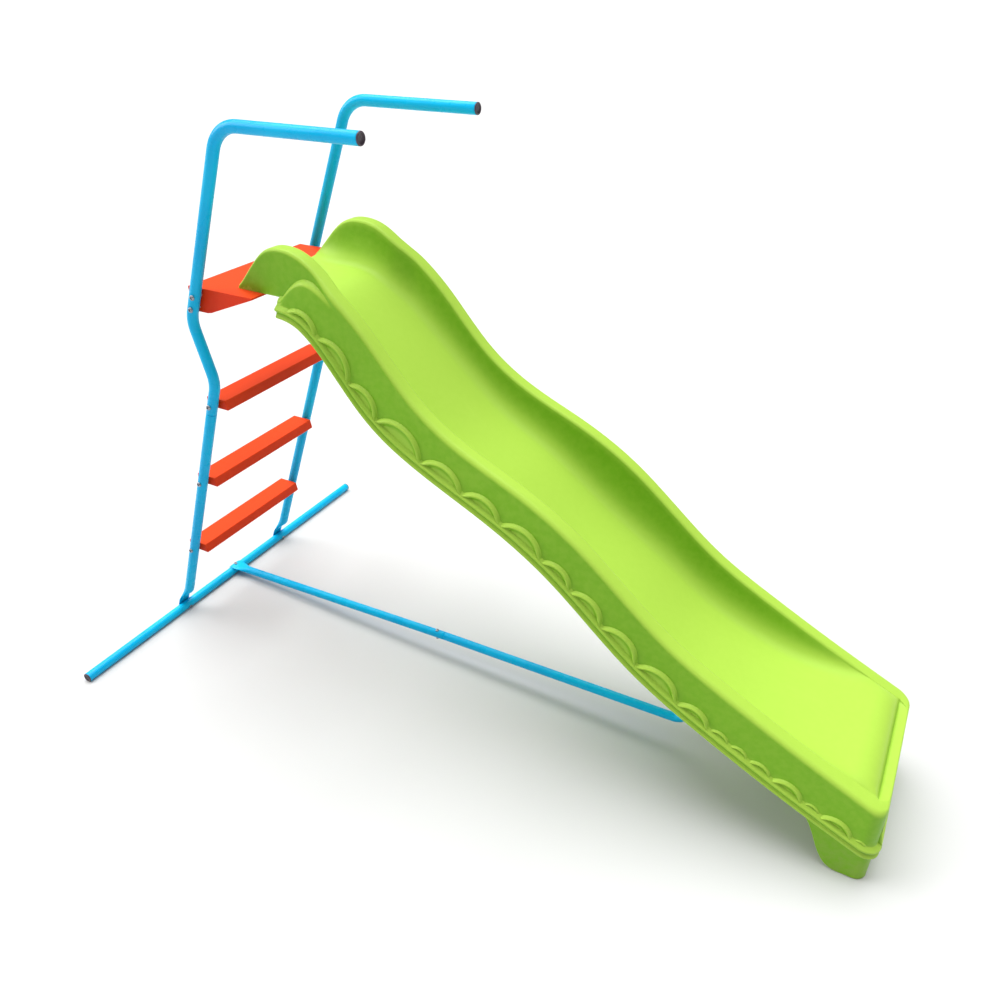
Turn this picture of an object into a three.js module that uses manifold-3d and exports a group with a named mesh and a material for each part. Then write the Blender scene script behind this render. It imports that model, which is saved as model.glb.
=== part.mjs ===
// Garden wave slide: a moulded wave chute on a bolted steel ladder frame.
//
// Millimetres, +Z up. While the pieces are made, x runs along the slide from the foot of
// the ladder to the exit, y runs across it and z is the height above the ground. The
// finished group is shifted so that its origin is on the ground under the middle.

import * as THREE from 'three';
import { mergeVertices } from 'three/addons/utils/BufferGeometryUtils.js';
import Module from 'manifold-3d';

const wasm = await Module();
wasm.setup();

// ---------------------------------------------------------------- driving dimensions

const GAP = 0.3; // clearance between touching pieces

const UPRIGHT = { radius: 12.7, wall: 1.5, neck: 10.8 };
const BAR = { radius: 12, wall: 1.5, halfLength: 545 };
const BRACE = { radius: 11, wall: 1.2, neck: 9.4 };
const UPRIGHT_OFFSET = 200; // from the middle of the slide to each upright's axis

// Axis of an upright, as [x, z]: foot, lower bend, upper bend, rail bend, rail end.
const FOOT = [0, BAR.radius];
const LOWER_BEND = [297, 772];
const UPPER_BEND = [262, 917];
const RAIL_BEND = [437, 1330];
const RAIL_END = [771, 1330];
const BEND_RADIUS = 75;
const TUBE_JOINT_HEIGHT = 689; // where the upper tube slips over the lower one
const NECK_LENGTH = 50;

const TREAD = { tops: [252, 487, 722], height: 24, back: 30, front: 29, toe: 34, wall: 4 };
const STEP_HALF_WIDTH = UPRIGHT_OFFSET - UPRIGHT.radius - 0.5;

const PLATFORM = { back: 256, front: 440, top: 990, bottom: 935, wall: 3.5, wedge: 30, nose: 4 };
const PLATFORM_BOLTS = { upper: [292, 976], lower: [280, 947] }; // [x, z] in each side

const CHUTE = {
  start: 367, end: 1871, skirtStart: 489, shell: 5.5,
  halfWidth: 188, flare: 28, cornerRadius: 30, cornerStart: 1841,
  rimWidth: 38, rimRound: 9, wallRun: 48, bead: 6, beadHeight: 34, skirtDraft: 2,
};
const LIP_TOP = PLATFORM.top + GAP + CHUTE.shell;
const LIP_BOLT = { x: 395, y: 122 };

// Heights along the chute, as [x, z] knots of smooth curves.
const RIM_KNOTS = [[367, LIP_TOP], [410, 1043], [450, 1080], [500, 1093], [550, 1082], [600, 1049],
  [700, 963], [800, 848], [900, 769], [1040, 702], [1200, 609], [1400, 443], [1520, 371],
  [1700, 279], [1871, 199]];
const BED_KNOTS = [[367, LIP_TOP], [500, LIP_TOP], [560, 983], [640, 925], [740, 828], [860, 716],
  [1000, 630], [1150, 523], [1300, 420], [1400, 349], [1500, 299], [1600, 265], [1700, 247],
  [1790, 237], [1830, 224], [1852, 201], [1871, 196]];
const SKIRT_KNOTS = [[367, 951], [489, 951], [540, 939], [600, 886], [687, 781], [805, 692],
  [982, 607], [1153, 503], [1324, 357], [1490, 253], [1700, 148], [1871, 73]];

const EXIT_FOOT = { start: 1706, wall: 5, inset: 3, skirtOverlap: 60, topHeight: 190 };
const BRACE_JOINT = [758, 52]; // [x, z] where the two brace tubes meet
const BRACE_ELBOW = [1429, 68];
const BRACE_TOP = 298; // height of the bolt that holds the brace under the chute
const ELBOW_RADIUS = 35;
const BRACE_OVERLAP = 48; // length of the front brace's neck inside the rear brace
const LUG = { thickness: 4, halfGap: 2.8, halfLength: 20 };

const M6 = { shank: 3, head: 6.5, headHeight: 3.4, nut: 5.6, nutHeight: 5 };
const M5 = { shank: 2.5, head: 5, headHeight: 2.6, nut: 4.6, nutHeight: 4 };
const HOLE_EXTRA = 0.6; // a bolt hole's radius over its bolt's

const TUBE_SIDES = 12;
const BOLT_SIDES = 10;

// ---------------------------------------------------------------- materials

function finish(colour, roughness, metalness) {
  return new THREE.MeshStandardMaterial({ color: colour, roughness, metalness });
}

const LIME_PLASTIC = finish(0xa6dd35, 0.4, 0);
const ORANGE_PLASTIC = finish(0xf0521e, 0.45, 0);
const BLUE_PAINT = finish(0x1bbfe6, 0.3, 0.1);
const BLACK_PLASTIC = finish(0x1a1416, 0.5, 0);
const ZINC_STEEL = finish(0xb8bcc4, 0.3, 1);

const group = new THREE.Group();

function add(name, geometry, material) {
  const mesh = new THREE.Mesh(geometry, material);
  mesh.name = name;
  group.add(mesh);
  return mesh;
}

// ---------------------------------------------------------------- curves and solids

// A natural cubic spline through [x, z] knots, as a function of x.
function smoothCurve(knots) {
  const count = knots.length;
  const curvature = new Array(count).fill(0);
  const upper = new Array(count).fill(0);
  for (let i = 1; i < count - 1; i++) {
    const before = knots[i][0] - knots[i - 1][0];
    const after = knots[i + 1][0] - knots[i][0];
    const rise = (knots[i + 1][1] - knots[i][1]) / after;
    const lastRise = (knots[i][1] - knots[i - 1][1]) / before;
    const pivot = 2 * (before + after) - before * upper[i - 1];
    upper[i] = after / pivot;
    curvature[i] = (6 * (rise - lastRise) - before * curvature[i - 1]) / pivot;
  }
  for (let i = count - 2; i > 0; i--) {
    curvature[i] -= upper[i] * curvature[i + 1];
  }
  return (x) => {
    let i = 0;
    while (i < count - 2 && x > knots[i + 1][0]) i += 1;
    const span = knots[i + 1][0] - knots[i][0];
    const a = (knots[i + 1][0] - x) / span;
    const b = 1 - a;
    const bend = (a ** 3 - a) * curvature[i] + (b ** 3 - b) * curvature[i + 1];
    return a * knots[i][1] + b * knots[i + 1][1] + (bend * span * span) / 6;
  };
}

function smoothStep(value, low, high) {
  const t = THREE.MathUtils.clamp((value - low) / (high - low), 0, 1);
  return t * t * (3 - 2 * t);
}

function toSolid(geometry) {
  const bare = geometry.clone();
  bare.deleteAttribute('normal');
  bare.deleteAttribute('uv');
  const merged = mergeVertices(bare, 1e-4);
  return new wasm.Manifold(new wasm.Mesh({
    numProp: 3,
    vertProperties: new Float32Array(merged.attributes.position.array),
    triVerts: new Uint32Array(merged.index.array),
  }));
}

function toGeometry(solid) {
  const mesh = solid.getMesh();
  const geometry = new THREE.BufferGeometry();
  geometry.setAttribute('position', new THREE.BufferAttribute(mesh.vertProperties, 3));
  geometry.setIndex(new THREE.BufferAttribute(mesh.triVerts, 1));
  geometry.computeVertexNormals();
  return geometry;
}

function cut(geometry, tools) {
  let solid = toSolid(geometry);
  for (const tool of tools) {
    solid = solid.subtract(toSolid(tool));
  }
  return toGeometry(solid);
}

// Adds the triangles between two rings of `count` points, given by their first indices.
function ringStrip(indices, first, second, count, flip) {
  for (let k = 0; k < count; k++) {
    const next = (k + 1) % count;
    const a = first + k;
    const b = first + next;
    const c = second + k;
    const d = second + next;
    if (flip) indices.push(a, c, b, b, c, d);
    else indices.push(a, b, c, b, d, c);
  }
}

// A closed tube through stations that each have an outer and an inner loop.
function loftTube(stations) {
  const points = [];
  const indices = [];
  for (const station of stations) {
    for (const loop of [station.outer, station.inner]) {
      for (const point of loop) points.push(point.x, point.y, point.z);
    }
  }
  const stride = 2 * TUBE_SIDES;
  const last = (stations.length - 1) * stride;
  for (let i = 0; i < stations.length - 1; i++) {
    ringStrip(indices, i * stride, (i + 1) * stride, TUBE_SIDES, false);
    ringStrip(indices, i * stride + TUBE_SIDES, (i + 1) * stride + TUBE_SIDES, TUBE_SIDES, true);
  }
  ringStrip(indices, 0, TUBE_SIDES, TUBE_SIDES, true);
  ringStrip(indices, last, last + TUBE_SIDES, TUBE_SIDES, false);
  const geometry = new THREE.BufferGeometry();
  geometry.setAttribute('position', new THREE.Float32BufferAttribute(points, 3));
  geometry.setIndex(indices);
  geometry.computeVertexNormals();
  return geometry;
}

// One oval station of a tube whose axis lies in a plane y = constant. The axis runs along
// `along` = [x, z]; the oval is `acrossY` wide each way in y and `acrossXZ` in the plane.
function tubeStation(centre, along, acrossY, acrossXZ, wall) {
  const length = Math.hypot(along[0], along[1]);
  const normal = [-along[1] / length, along[0] / length];
  const loop = (halfY, halfXZ) => {
    const points = [];
    for (let k = 0; k < TUBE_SIDES; k++) {
      const angle = (2 * Math.PI * k) / TUBE_SIDES;
      const side = halfXZ * Math.sin(angle);
      points.push(new THREE.Vector3(
        centre[0] + side * normal[0],
        centre[2] + halfY * Math.cos(angle),
        centre[1] + side * normal[1],
      ));
    }
    return points;
  };
  return {
    outer: loop(acrossY, acrossXZ),
    inner: loop(Math.max(acrossY - wall, 0.5), Math.max(acrossXZ - wall, 0.5)),
  };
}

function cylinder(radius, length, sides = BOLT_SIDES) {
  return new THREE.CylinderGeometry(radius, radius, length, sides);
}

// Turns a geometry made along +Y so that it points along `direction`, at `place`.
function aim(geometry, place, direction) {
  const turn = new THREE.Quaternion();
  turn.setFromUnitVectors(new THREE.Vector3(0, 1, 0), direction.clone().normalize());
  geometry.applyQuaternion(turn);
  geometry.translate(place.x, place.y, place.z);
  return geometry;
}

function drill(size, place, direction, length) {
  return aim(cylinder(size.shank + HOLE_EXTRA, length), place, direction);
}

// A domed bolt from the underside of its head at `place`, its shank along `direction`.
function bolt(name, size, place, direction, length) {
  const profile = [
    [0, -size.headHeight], [size.head * 0.6, -size.headHeight * 0.85],
    [size.head * 0.95, -size.headHeight * 0.4], [size.head, 0],
    [size.shank, 0], [size.shank, length], [0, length],
  ].map(([r, y]) => new THREE.Vector2(r, y));
  const shape = new THREE.LatheGeometry(profile, BOLT_SIDES);
  add(name, aim(shape, place, direction), ZINC_STEEL);
}

function nut(name, size, place, direction) {
  const outline = new THREE.Shape();
  for (let k = 0; k < 6; k++) {
    const angle = (Math.PI * k) / 3;
    const corner = [size.nut * Math.cos(angle), size.nut * Math.sin(angle)];
    if (k === 0) outline.moveTo(...corner);
    else outline.lineTo(...corner);
  }
  outline.closePath();
  const bore = new THREE.Path();
  bore.absarc(0, 0, size.shank + GAP, 0, 2 * Math.PI, true);
  outline.holes.push(bore);
  const options = { depth: size.nutHeight, bevelEnabled: false, curveSegments: BOLT_SIDES };
  const shape = new THREE.ExtrudeGeometry(outline, options);
  shape.rotateX(-Math.PI / 2);
  add(name, aim(shape, place, direction), ZINC_STEEL);
}

const SIDES = [['left', 1], ['right', -1]]; // seen by a child sliding down

// ---------------------------------------------------------------- ladder uprights

const UPRIGHT_LENGTH = Math.hypot(LOWER_BEND[0] - FOOT[0], LOWER_BEND[1] - FOOT[1]);
const UPRIGHT_LEAN = [
  (LOWER_BEND[0] - FOOT[0]) / UPRIGHT_LENGTH,
  (LOWER_BEND[1] - FOOT[1]) / UPRIGHT_LENGTH,
];

// A point on the straight lower part of an upright's axis, at height z.
function uprightAxisAt(z) {
  const travel = (z - FOOT[1]) / UPRIGHT_LEAN[1];
  return FOOT[0] + travel * UPRIGHT_LEAN[0];
}

// Corner points joined by straights and arcs, as [x, z] points along the way.
function roundedRoute(corners, radius, arcSteps) {
  const route = [corners[0]];
  for (let i = 1; i < corners.length - 1; i++) {
    const corner = new THREE.Vector2(...corners[i]);
    const back = new THREE.Vector2(...corners[i - 1]).sub(corner).normalize();
    const ahead = new THREE.Vector2(...corners[i + 1]).sub(corner).normalize();
    const halfAngle = Math.acos(back.dot(ahead)) / 2;
    const toTangent = radius / Math.tan(halfAngle);
    const bisector = back.clone().add(ahead).normalize();
    const centre = corner.clone().addScaledVector(bisector, radius / Math.sin(halfAngle));
    const start = corner.clone().addScaledVector(back, toTangent).sub(centre);
    const stop = corner.clone().addScaledVector(ahead, toTangent).sub(centre);
    const swing = Math.atan2(start.cross(stop), start.dot(stop));
    for (let k = 0; k <= arcSteps; k++) {
      const turned = start.clone().rotateAround(new THREE.Vector2(), (swing * k) / arcSteps);
      route.push([centre.x + turned.x, centre.y + turned.y]);
    }
  }
  route.push(corners[corners.length - 1]);
  return route;
}

function directionAt(route, i) {
  const before = route[Math.max(i - 1, 0)];
  const after = route[Math.min(i + 1, route.length - 1)];
  if (i === 0 || i === route.length - 1) {
    return [after[0] - before[0], after[1] - before[1]];
  }
  const here = route[i];
  const back = Math.hypot(here[0] - before[0], here[1] - before[1]);
  const ahead = Math.hypot(after[0] - here[0], after[1] - here[1]);
  return [
    (here[0] - before[0]) / back + (after[0] - here[0]) / ahead,
    (here[1] - before[1]) / back + (after[1] - here[1]) / ahead,
  ];
}

function roundTube(route, y, radius, wall) {
  return loftTube(route.map((point, i) => {
    return tubeStation([...point, y], directionAt(route, i), radius, radius, wall);
  }));
}

const STEP_BOLTS = TREAD.tops.map((top) => {
  const z = top - TREAD.height / 2;
  return [uprightAxisAt(z), z];
});

function crossHole(size, [x, z], y) {
  const acrossSlide = new THREE.Vector3(0, 1, 0);
  return drill(size, new THREE.Vector3(x, y, z), acrossSlide, 4 * UPRIGHT.radius);
}

function makeUpperUpright(side, sign) {
  const y = sign * UPRIGHT_OFFSET;
  const jointPoint = [uprightAxisAt(TUBE_JOINT_HEIGHT), TUBE_JOINT_HEIGHT];
  const corners = [jointPoint, LOWER_BEND, UPPER_BEND, RAIL_BEND, RAIL_END];
  const tube = roundTube(roundedRoute(corners, BEND_RADIUS, 5), y, UPRIGHT.radius, UPRIGHT.wall);
  const places = [...Object.values(PLATFORM_BOLTS), STEP_BOLTS[2]];
  const holes = places.map((place) => crossHole(M6, place, y));
  add(`upper_upright_${side}`, cut(tube, holes), BLUE_PAINT);
}

// The lower upright is a straight tube with a narrowed neck at its top. Its foot is
// pressed flat against its own back wall and lies on the back of the base bar.
const FOOT_PLATE = { halfWidth: 19.5, halfThickness: 1.9, flatUntil: 18, roundFrom: 75, end: -11 };
const FOOT_PLATE_OFFSET = BAR.radius + GAP + FOOT_PLATE.halfThickness;

function lowerUprightStation(travel, y) {
  const neckStart = (TUBE_JOINT_HEIGHT - FOOT[1]) / UPRIGHT_LEAN[1];
  const round = smoothStep(travel, FOOT_PLATE.flatUntil, FOOT_PLATE.roundFrom);
  const radius = travel > neckStart - GAP ? UPRIGHT.neck : UPRIGHT.radius;
  const acrossY = THREE.MathUtils.lerp(FOOT_PLATE.halfWidth, radius, round);
  const acrossXZ = THREE.MathUtils.lerp(FOOT_PLATE.halfThickness, radius, round);
  const offset = FOOT_PLATE_OFFSET * (1 - round);
  const x = FOOT[0] + travel * UPRIGHT_LEAN[0] - offset * UPRIGHT_LEAN[1];
  const z = FOOT[1] + travel * UPRIGHT_LEAN[1] + offset * UPRIGHT_LEAN[0];
  return tubeStation([x, z, y], UPRIGHT_LEAN, acrossY, acrossXZ, UPRIGHT.wall);
}

function makeLowerUpright(side, sign) {
  const y = sign * UPRIGHT_OFFSET;
  const neckStart = (TUBE_JOINT_HEIGHT - FOOT[1]) / UPRIGHT_LEAN[1];
  const travels = [FOOT_PLATE.end, FOOT_PLATE.flatUntil];
  const pressSteps = 6;
  for (let k = 1; k <= pressSteps; k++) {
    const run = FOOT_PLATE.roundFrom - FOOT_PLATE.flatUntil;
    travels.push(FOOT_PLATE.flatUntil + (run * k) / pressSteps);
  }
  travels.push(neckStart - 3, neckStart, neckStart + NECK_LENGTH);
  const tube = loftTube(travels.map((travel) => lowerUprightStation(travel, y)));
  const holes = STEP_BOLTS.map((place) => crossHole(M6, place, y));
  const plateNormal = new THREE.Vector3(-UPRIGHT_LEAN[1], 0, UPRIGHT_LEAN[0]);
  holes.push(drill(M5, new THREE.Vector3(FOOT[0], y, FOOT[1]), plateNormal, 60));
  add(`lower_upright_${side}`, cut(tube, holes), BLUE_PAINT);

  // The foot bolt goes through the base bar and the pressed plate.
  const head = new THREE.Vector3(FOOT[0], y, FOOT[1]);
  head.addScaledVector(plateNormal, -(BAR.radius + GAP));
  const nutSeat = new THREE.Vector3(FOOT[0], y, FOOT[1]);
  nutSeat.addScaledVector(plateNormal, FOOT_PLATE_OFFSET + FOOT_PLATE.halfThickness + GAP);
  bolt(`foot_bolt_${side}`, M5, head, plateNormal, 2 * BAR.radius + 12);
  nut(`foot_nut_${side}`, M5, nutSeat, plateNormal);
}

for (const [side, sign] of SIDES) {
  makeUpperUpright(side, sign);
  makeLowerUpright(side, sign);
}

// ---------------------------------------------------------------- base bar

// A straight round tube along Z, centred on the origin.
function straightTube(radius, wall, length) {
  const ring = new THREE.Shape().absarc(0, 0, radius, 0, 2 * Math.PI, false);
  ring.holes.push(new THREE.Path().absarc(0, 0, radius - wall, 0, 2 * Math.PI, true));
  const options = { depth: length, bevelEnabled: false, curveSegments: TUBE_SIDES };
  return new THREE.ExtrudeGeometry(ring, options).translate(0, 0, -length / 2);
}

function makeBaseBar() {
  const tube = straightTube(BAR.radius, BAR.wall, 2 * BAR.halfLength);
  tube.rotateX(Math.PI / 2);
  tube.translate(FOOT[0], 0, FOOT[1]);
  const plateNormal = new THREE.Vector3(-UPRIGHT_LEAN[1], 0, UPRIGHT_LEAN[0]);
  const holes = SIDES.map(([, sign]) => {
    return drill(M5, new THREE.Vector3(FOOT[0], sign * UPRIGHT_OFFSET, FOOT[1]), plateNormal, 40);
  });
  const upward = new THREE.Vector3(0, 0, 1);
  const topWall = new THREE.Vector3(FOOT[0], 0, FOOT[1] + BAR.radius);
  holes.push(drill(M5, topWall, upward, 12));
  add('base_bar', cut(tube, holes), BLUE_PAINT);
}

makeBaseBar();

// ---------------------------------------------------------------- end caps

// A push-in plug: a domed flange outside the tube and a stem inside it.
function endCap(name, tube, place, direction) {
  const stem = tube.radius - tube.wall - 0.4;
  const profile = [
    [0, -14], [stem - 1, -14], [stem, -12], [stem, GAP], [tube.radius, GAP],
    [tube.radius, 1.8], [tube.radius * 0.7, 3], [0, 3.3],
  ].map(([r, y]) => new THREE.Vector2(r, y));
  const shape = new THREE.LatheGeometry(profile, TUBE_SIDES);
  add(name, aim(shape, place, direction), BLACK_PLASTIC);
}

for (const [side, sign] of SIDES) {
  const railEnd = new THREE.Vector3(RAIL_END[0], sign * UPRIGHT_OFFSET, RAIL_END[1]);
  endCap(`rail_end_cap_${side}`, UPRIGHT, railEnd, new THREE.Vector3(1, 0, 0));
  const barEnd = new THREE.Vector3(FOOT[0], sign * BAR.halfLength, FOOT[1]);
  endCap(`base_bar_cap_${side}`, BAR, barEnd, new THREE.Vector3(0, sign, 0));
}

// ---------------------------------------------------------------- brace

// The rear brace tube ends in a pressed saddle that lies over the base bar.
const SADDLE = { halfWidth: 20, halfThickness: 1.6 };

function makeRearBrace() {
  const stations = [];
  const saddleRadius = BAR.radius + GAP + SADDLE.halfThickness;
  for (const degrees of [150, 130, 110, 90, 72]) {
    const angle = THREE.MathUtils.degToRad(degrees);
    const centre = [
      FOOT[0] + saddleRadius * Math.cos(angle),
      FOOT[1] + saddleRadius * Math.sin(angle),
      0,
    ];
    const along = [Math.sin(angle), -Math.cos(angle)];
    stations.push(tubeStation(centre, along, SADDLE.halfWidth, SADDLE.halfThickness, BRACE.wall));
  }
  const tubeStart = [64, 22];
  const slope = (BRACE_JOINT[1] - tubeStart[1]) / (BRACE_JOINT[0] - tubeStart[0]);
  for (const [x, lift] of [[16, 1.2], [28, 0.8], [40, 0.4], [52, 0.1], [64, 0]]) {
    const round = smoothStep(x, 6, 64);
    const halfY = THREE.MathUtils.lerp(SADDLE.halfWidth, BRACE.radius, round);
    const halfXZ = THREE.MathUtils.lerp(SADDLE.halfThickness, BRACE.radius, round);
    const flatHeight = FOOT[1] + saddleRadius - 1.2;
    const roundHeight = tubeStart[1] + slope * (x - tubeStart[0]) + lift;
    const z = THREE.MathUtils.lerp(flatHeight, roundHeight, round);
    stations.push(tubeStation([x, z, 0], [1, slope], halfY, halfXZ, BRACE.wall));
  }
  const end = [...BRACE_JOINT, 0];
  stations.push(tubeStation(end, [1, slope], BRACE.radius, BRACE.radius, BRACE.wall));

  const upward = new THREE.Vector3(0, 0, 1);
  const downward = new THREE.Vector3(0, 0, -1);
  const screwHead = new THREE.Vector3(FOOT[0], 0, FOOT[1] + saddleRadius + SADDLE.halfThickness + GAP);
  const jointBoltX = BRACE_JOINT[0] - BRACE_OVERLAP / 2;
  const jointBoltZ = BRACE_JOINT[1] - (BRACE_OVERLAP / 2) * slope;
  const holes = [
    drill(M5, screwHead, upward, 30),
    drill(M5, new THREE.Vector3(jointBoltX, 0, jointBoltZ), upward, 40),
  ];
  add('rear_brace_tube', cut(loftTube(stations), holes), BLUE_PAINT);
  bolt('brace_saddle_screw', M5, screwHead, downward, 11);

  const boltHead = new THREE.Vector3(jointBoltX, 0, jointBoltZ + BRACE.radius + GAP);
  const nutSeat = new THREE.Vector3(jointBoltX, 0, jointBoltZ - BRACE.radius - GAP);
  bolt('brace_joint_bolt', M5, boltHead, downward, 2 * BRACE.radius + 7);
  nut('brace_joint_nut', M5, nutSeat, downward);
  return { slope, jointBoltX, jointBoltZ };
}

const rearBrace = makeRearBrace();

// The front brace tube turns up at an elbow and is pressed flat between two lugs under
// the chute.
function makeFrontBrace() {
  const neckStart = [
    BRACE_JOINT[0] - BRACE_OVERLAP,
    BRACE_JOINT[1] - BRACE_OVERLAP * rearBrace.slope,
  ];
  const shoulder = [BRACE_JOINT[0] + GAP, BRACE_JOINT[1] + GAP * rearBrace.slope];
  const pressStart = [BRACE_ELBOW[0], BRACE_TOP - 60];
  const corners = [shoulder, BRACE_ELBOW, pressStart];
  const route = roundedRoute(corners, ELBOW_RADIUS, 5);
  const along = [1, rearBrace.slope];
  const stations = [
    tubeStation([...neckStart, 0], along, BRACE.neck, BRACE.neck, BRACE.wall),
    tubeStation([...shoulder, 0], along, BRACE.neck, BRACE.neck, BRACE.wall),
  ];
  for (let i = 1; i < route.length; i++) {
    const point = route[i];
    const along = directionAt(route, i);
    stations.push(tubeStation([...point, 0], along, BRACE.radius, BRACE.radius, BRACE.wall));
  }
  const collar = [shoulder[0] + 3, shoulder[1] + 3 * rearBrace.slope, 0];
  stations.splice(2, 0, tubeStation(collar, along, BRACE.radius, BRACE.radius, BRACE.wall));
  const upright = [0, 1];
  for (const [rise, share] of [[15, 0.2], [30, 0.7], [42, 1], [72, 1]]) {
    const halfY = THREE.MathUtils.lerp(BRACE.radius, 2.2, share);
    const halfXZ = THREE.MathUtils.lerp(BRACE.radius, 15, share);
    const centre = [pressStart[0], pressStart[1] + rise, 0];
    stations.push(tubeStation(centre, upright, halfY, halfXZ, BRACE.wall));
  }
  const holes = [
    drill(M5, new THREE.Vector3(rearBrace.jointBoltX, 0, rearBrace.jointBoltZ),
      new THREE.Vector3(0, 0, 1), 40),
    drill(M5, new THREE.Vector3(BRACE_ELBOW[0], 0, BRACE_TOP), new THREE.Vector3(0, 1, 0), 40),
  ];
  add('front_brace_tube', cut(loftTube(stations), holes), BLUE_PAINT);
}

makeFrontBrace();

const lugOuter = LUG.halfGap + LUG.thickness;
const lugBoltHead = new THREE.Vector3(BRACE_ELBOW[0], -(lugOuter + GAP), BRACE_TOP);
bolt('brace_lug_bolt', M5, lugBoltHead, new THREE.Vector3(0, 1, 0), 2 * lugOuter + 8);
nut('brace_lug_nut', M5, new THREE.Vector3(BRACE_ELBOW[0], lugOuter + GAP, BRACE_TOP),
  new THREE.Vector3(0, 1, 0));

// ---------------------------------------------------------------- treads and platform

// Extrudes an [x, z] outline across the slide, centred on y = 0.
function acrossSlide(outline, halfWidth) {
  const shape = new THREE.Shape(outline.map(([x, z]) => new THREE.Vector2(x, z)));
  const options = { depth: 2 * halfWidth, bevelEnabled: false };
  return new THREE.ExtrudeGeometry(shape, options).translate(0, 0, -halfWidth).rotateX(Math.PI / 2);
}

function makeTread(number, top, centreX) {
  const bottom = top - TREAD.height;
  const body = acrossSlide([
    [centreX - TREAD.back, top], [centreX - TREAD.back - 2, bottom],
    [centreX + TREAD.toe, bottom], [centreX + TREAD.front, top],
  ], STEP_HALF_WIDTH);
  const hollow = acrossSlide([
    [centreX - TREAD.back + TREAD.wall, top - TREAD.wall],
    [centreX - TREAD.back + TREAD.wall - 1, bottom - 1],
    [centreX + TREAD.toe - TREAD.wall, bottom - 1],
    [centreX + TREAD.front - TREAD.wall, top - TREAD.wall],
  ], STEP_HALF_WIDTH - TREAD.wall);
  const holes = SIDES.map(([, sign]) => {
    return crossHole(M6, [centreX, top - TREAD.height / 2], sign * STEP_HALF_WIDTH);
  });
  add(`tread_${number}`, cut(body, [hollow, ...holes]), ORANGE_PLASTIC);
}

function makePlatform() {
  const { back, front, top, bottom, wall, wedge, nose } = PLATFORM;
  const body = acrossSlide([
    [back, top], [back, bottom + 14], [back + 8, bottom + 2], [back + 22, bottom],
    [back + 50, bottom], [back + 72, bottom + 8], [front, top - nose], [front, top],
  ], STEP_HALF_WIDTH);
  const hollow = acrossSlide([
    [back + wall, top - wall], [back + wall, bottom - 1],
    [front - wedge, bottom - 1], [front - wedge, top - wall],
  ], STEP_HALF_WIDTH - wall);
  const holes = SIDES.flatMap(([, sign]) => {
    const y = sign * STEP_HALF_WIDTH;
    return Object.values(PLATFORM_BOLTS).map((place) => crossHole(M6, place, y));
  });
  const upward = new THREE.Vector3(0, 0, 1);
  for (const [, sign] of SIDES) {
    const place = new THREE.Vector3(LIP_BOLT.x, sign * LIP_BOLT.y, top);
    holes.push(drill(M6, place, upward, 30));
  }
  add('platform_step', cut(body, [hollow, ...holes]), ORANGE_PLASTIC);
}

// A step bolt: head outside the upright, nut inside the step's end wall.
function stepBolt(name, [x, z], sign, wall) {
  const inward = new THREE.Vector3(0, -sign, 0);
  const head = new THREE.Vector3(x, sign * (UPRIGHT_OFFSET + UPRIGHT.radius + GAP), z);
  const nutSeat = new THREE.Vector3(x, sign * (STEP_HALF_WIDTH - wall - GAP), z);
  const length = head.distanceTo(nutSeat) + M6.nutHeight + 2;
  bolt(`${name}_bolt`, M6, head, inward, length);
  nut(`${name}_nut`, M6, nutSeat, inward);
}

makePlatform();
TREAD.tops.forEach((top, i) => makeTread(i + 1, top, STEP_BOLTS[i][0]));
for (const [side, sign] of SIDES) {
  STEP_BOLTS.forEach((place, i) => stepBolt(`tread_${i + 1}_${side}`, place, sign, TREAD.wall));
  stepBolt(`platform_upper_${side}`, PLATFORM_BOLTS.upper, sign, PLATFORM.wall);
  stepBolt(`platform_lower_${side}`, PLATFORM_BOLTS.lower, sign, PLATFORM.wall);
}

// ---------------------------------------------------------------- chute

const rimHeight = smoothCurve(RIM_KNOTS);
const bedHeight = smoothCurve(BED_KNOTS);
const skirtHeight = smoothCurve(SKIRT_KNOTS);

// Half the outside width: it flares towards the exit and rounds off at the exit corners.
function chuteHalfWidth(x) {
  const away = (CHUTE.end - x) / (CHUTE.end - CHUTE.start);
  const straight = CHUTE.halfWidth - CHUTE.flare * away * away;
  const intoCorner = Math.max(0, x - CHUTE.cornerStart);
  const radius = CHUTE.cornerRadius;
  return straight - (radius - Math.sqrt(Math.max(0, radius * radius - intoCorner * intoCorner)));
}

// Half of the upper skin at x, from the foot of the skirt up over the rim and down the
// inner wall to the middle of the bed, as [y, z] points.
function upperSkin(x) {
  const half = chuteHalfWidth(x);
  const rim = rimHeight(x);
  const bed = bedHeight(x);
  const skirt = skirtHeight(x);
  const round = THREE.MathUtils.clamp((rim - bed) / 2, 0.8, CHUTE.rimRound);
  const points = [[half + CHUTE.skirtDraft, skirt]];
  const arc = (centreY, centreZ, radius, from, to) => {
    for (let k = 0; k <= 2; k++) {
      const angle = THREE.MathUtils.degToRad(THREE.MathUtils.lerp(from, to, k / 2));
      points.push([centreY + radius * Math.cos(angle), centreZ + radius * Math.sin(angle)]);
    }
  };
  arc(half - CHUTE.rimRound, rim - CHUTE.rimRound, CHUTE.rimRound, 8, 90);
  const inner = half - CHUTE.rimWidth;
  arc(inner + round, rim - round, round, 90, 165);
  const wallTop = rim - round * 0.7;
  const wall = new THREE.CubicBezierCurve(
    new THREE.Vector2(inner, wallTop),
    new THREE.Vector2(inner - 0.12 * CHUTE.wallRun, THREE.MathUtils.lerp(wallTop, bed, 0.6)),
    new THREE.Vector2(inner - 0.35 * CHUTE.wallRun, bed),
    new THREE.Vector2(inner - CHUTE.wallRun, bed),
  );
  for (const t of [0.3, 0.55, 0.75, 1]) {
    const point = wall.getPoint(t);
    points.push([point.x, point.y]);
  }
  points.push([0, bed]);
  return points;
}

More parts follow.
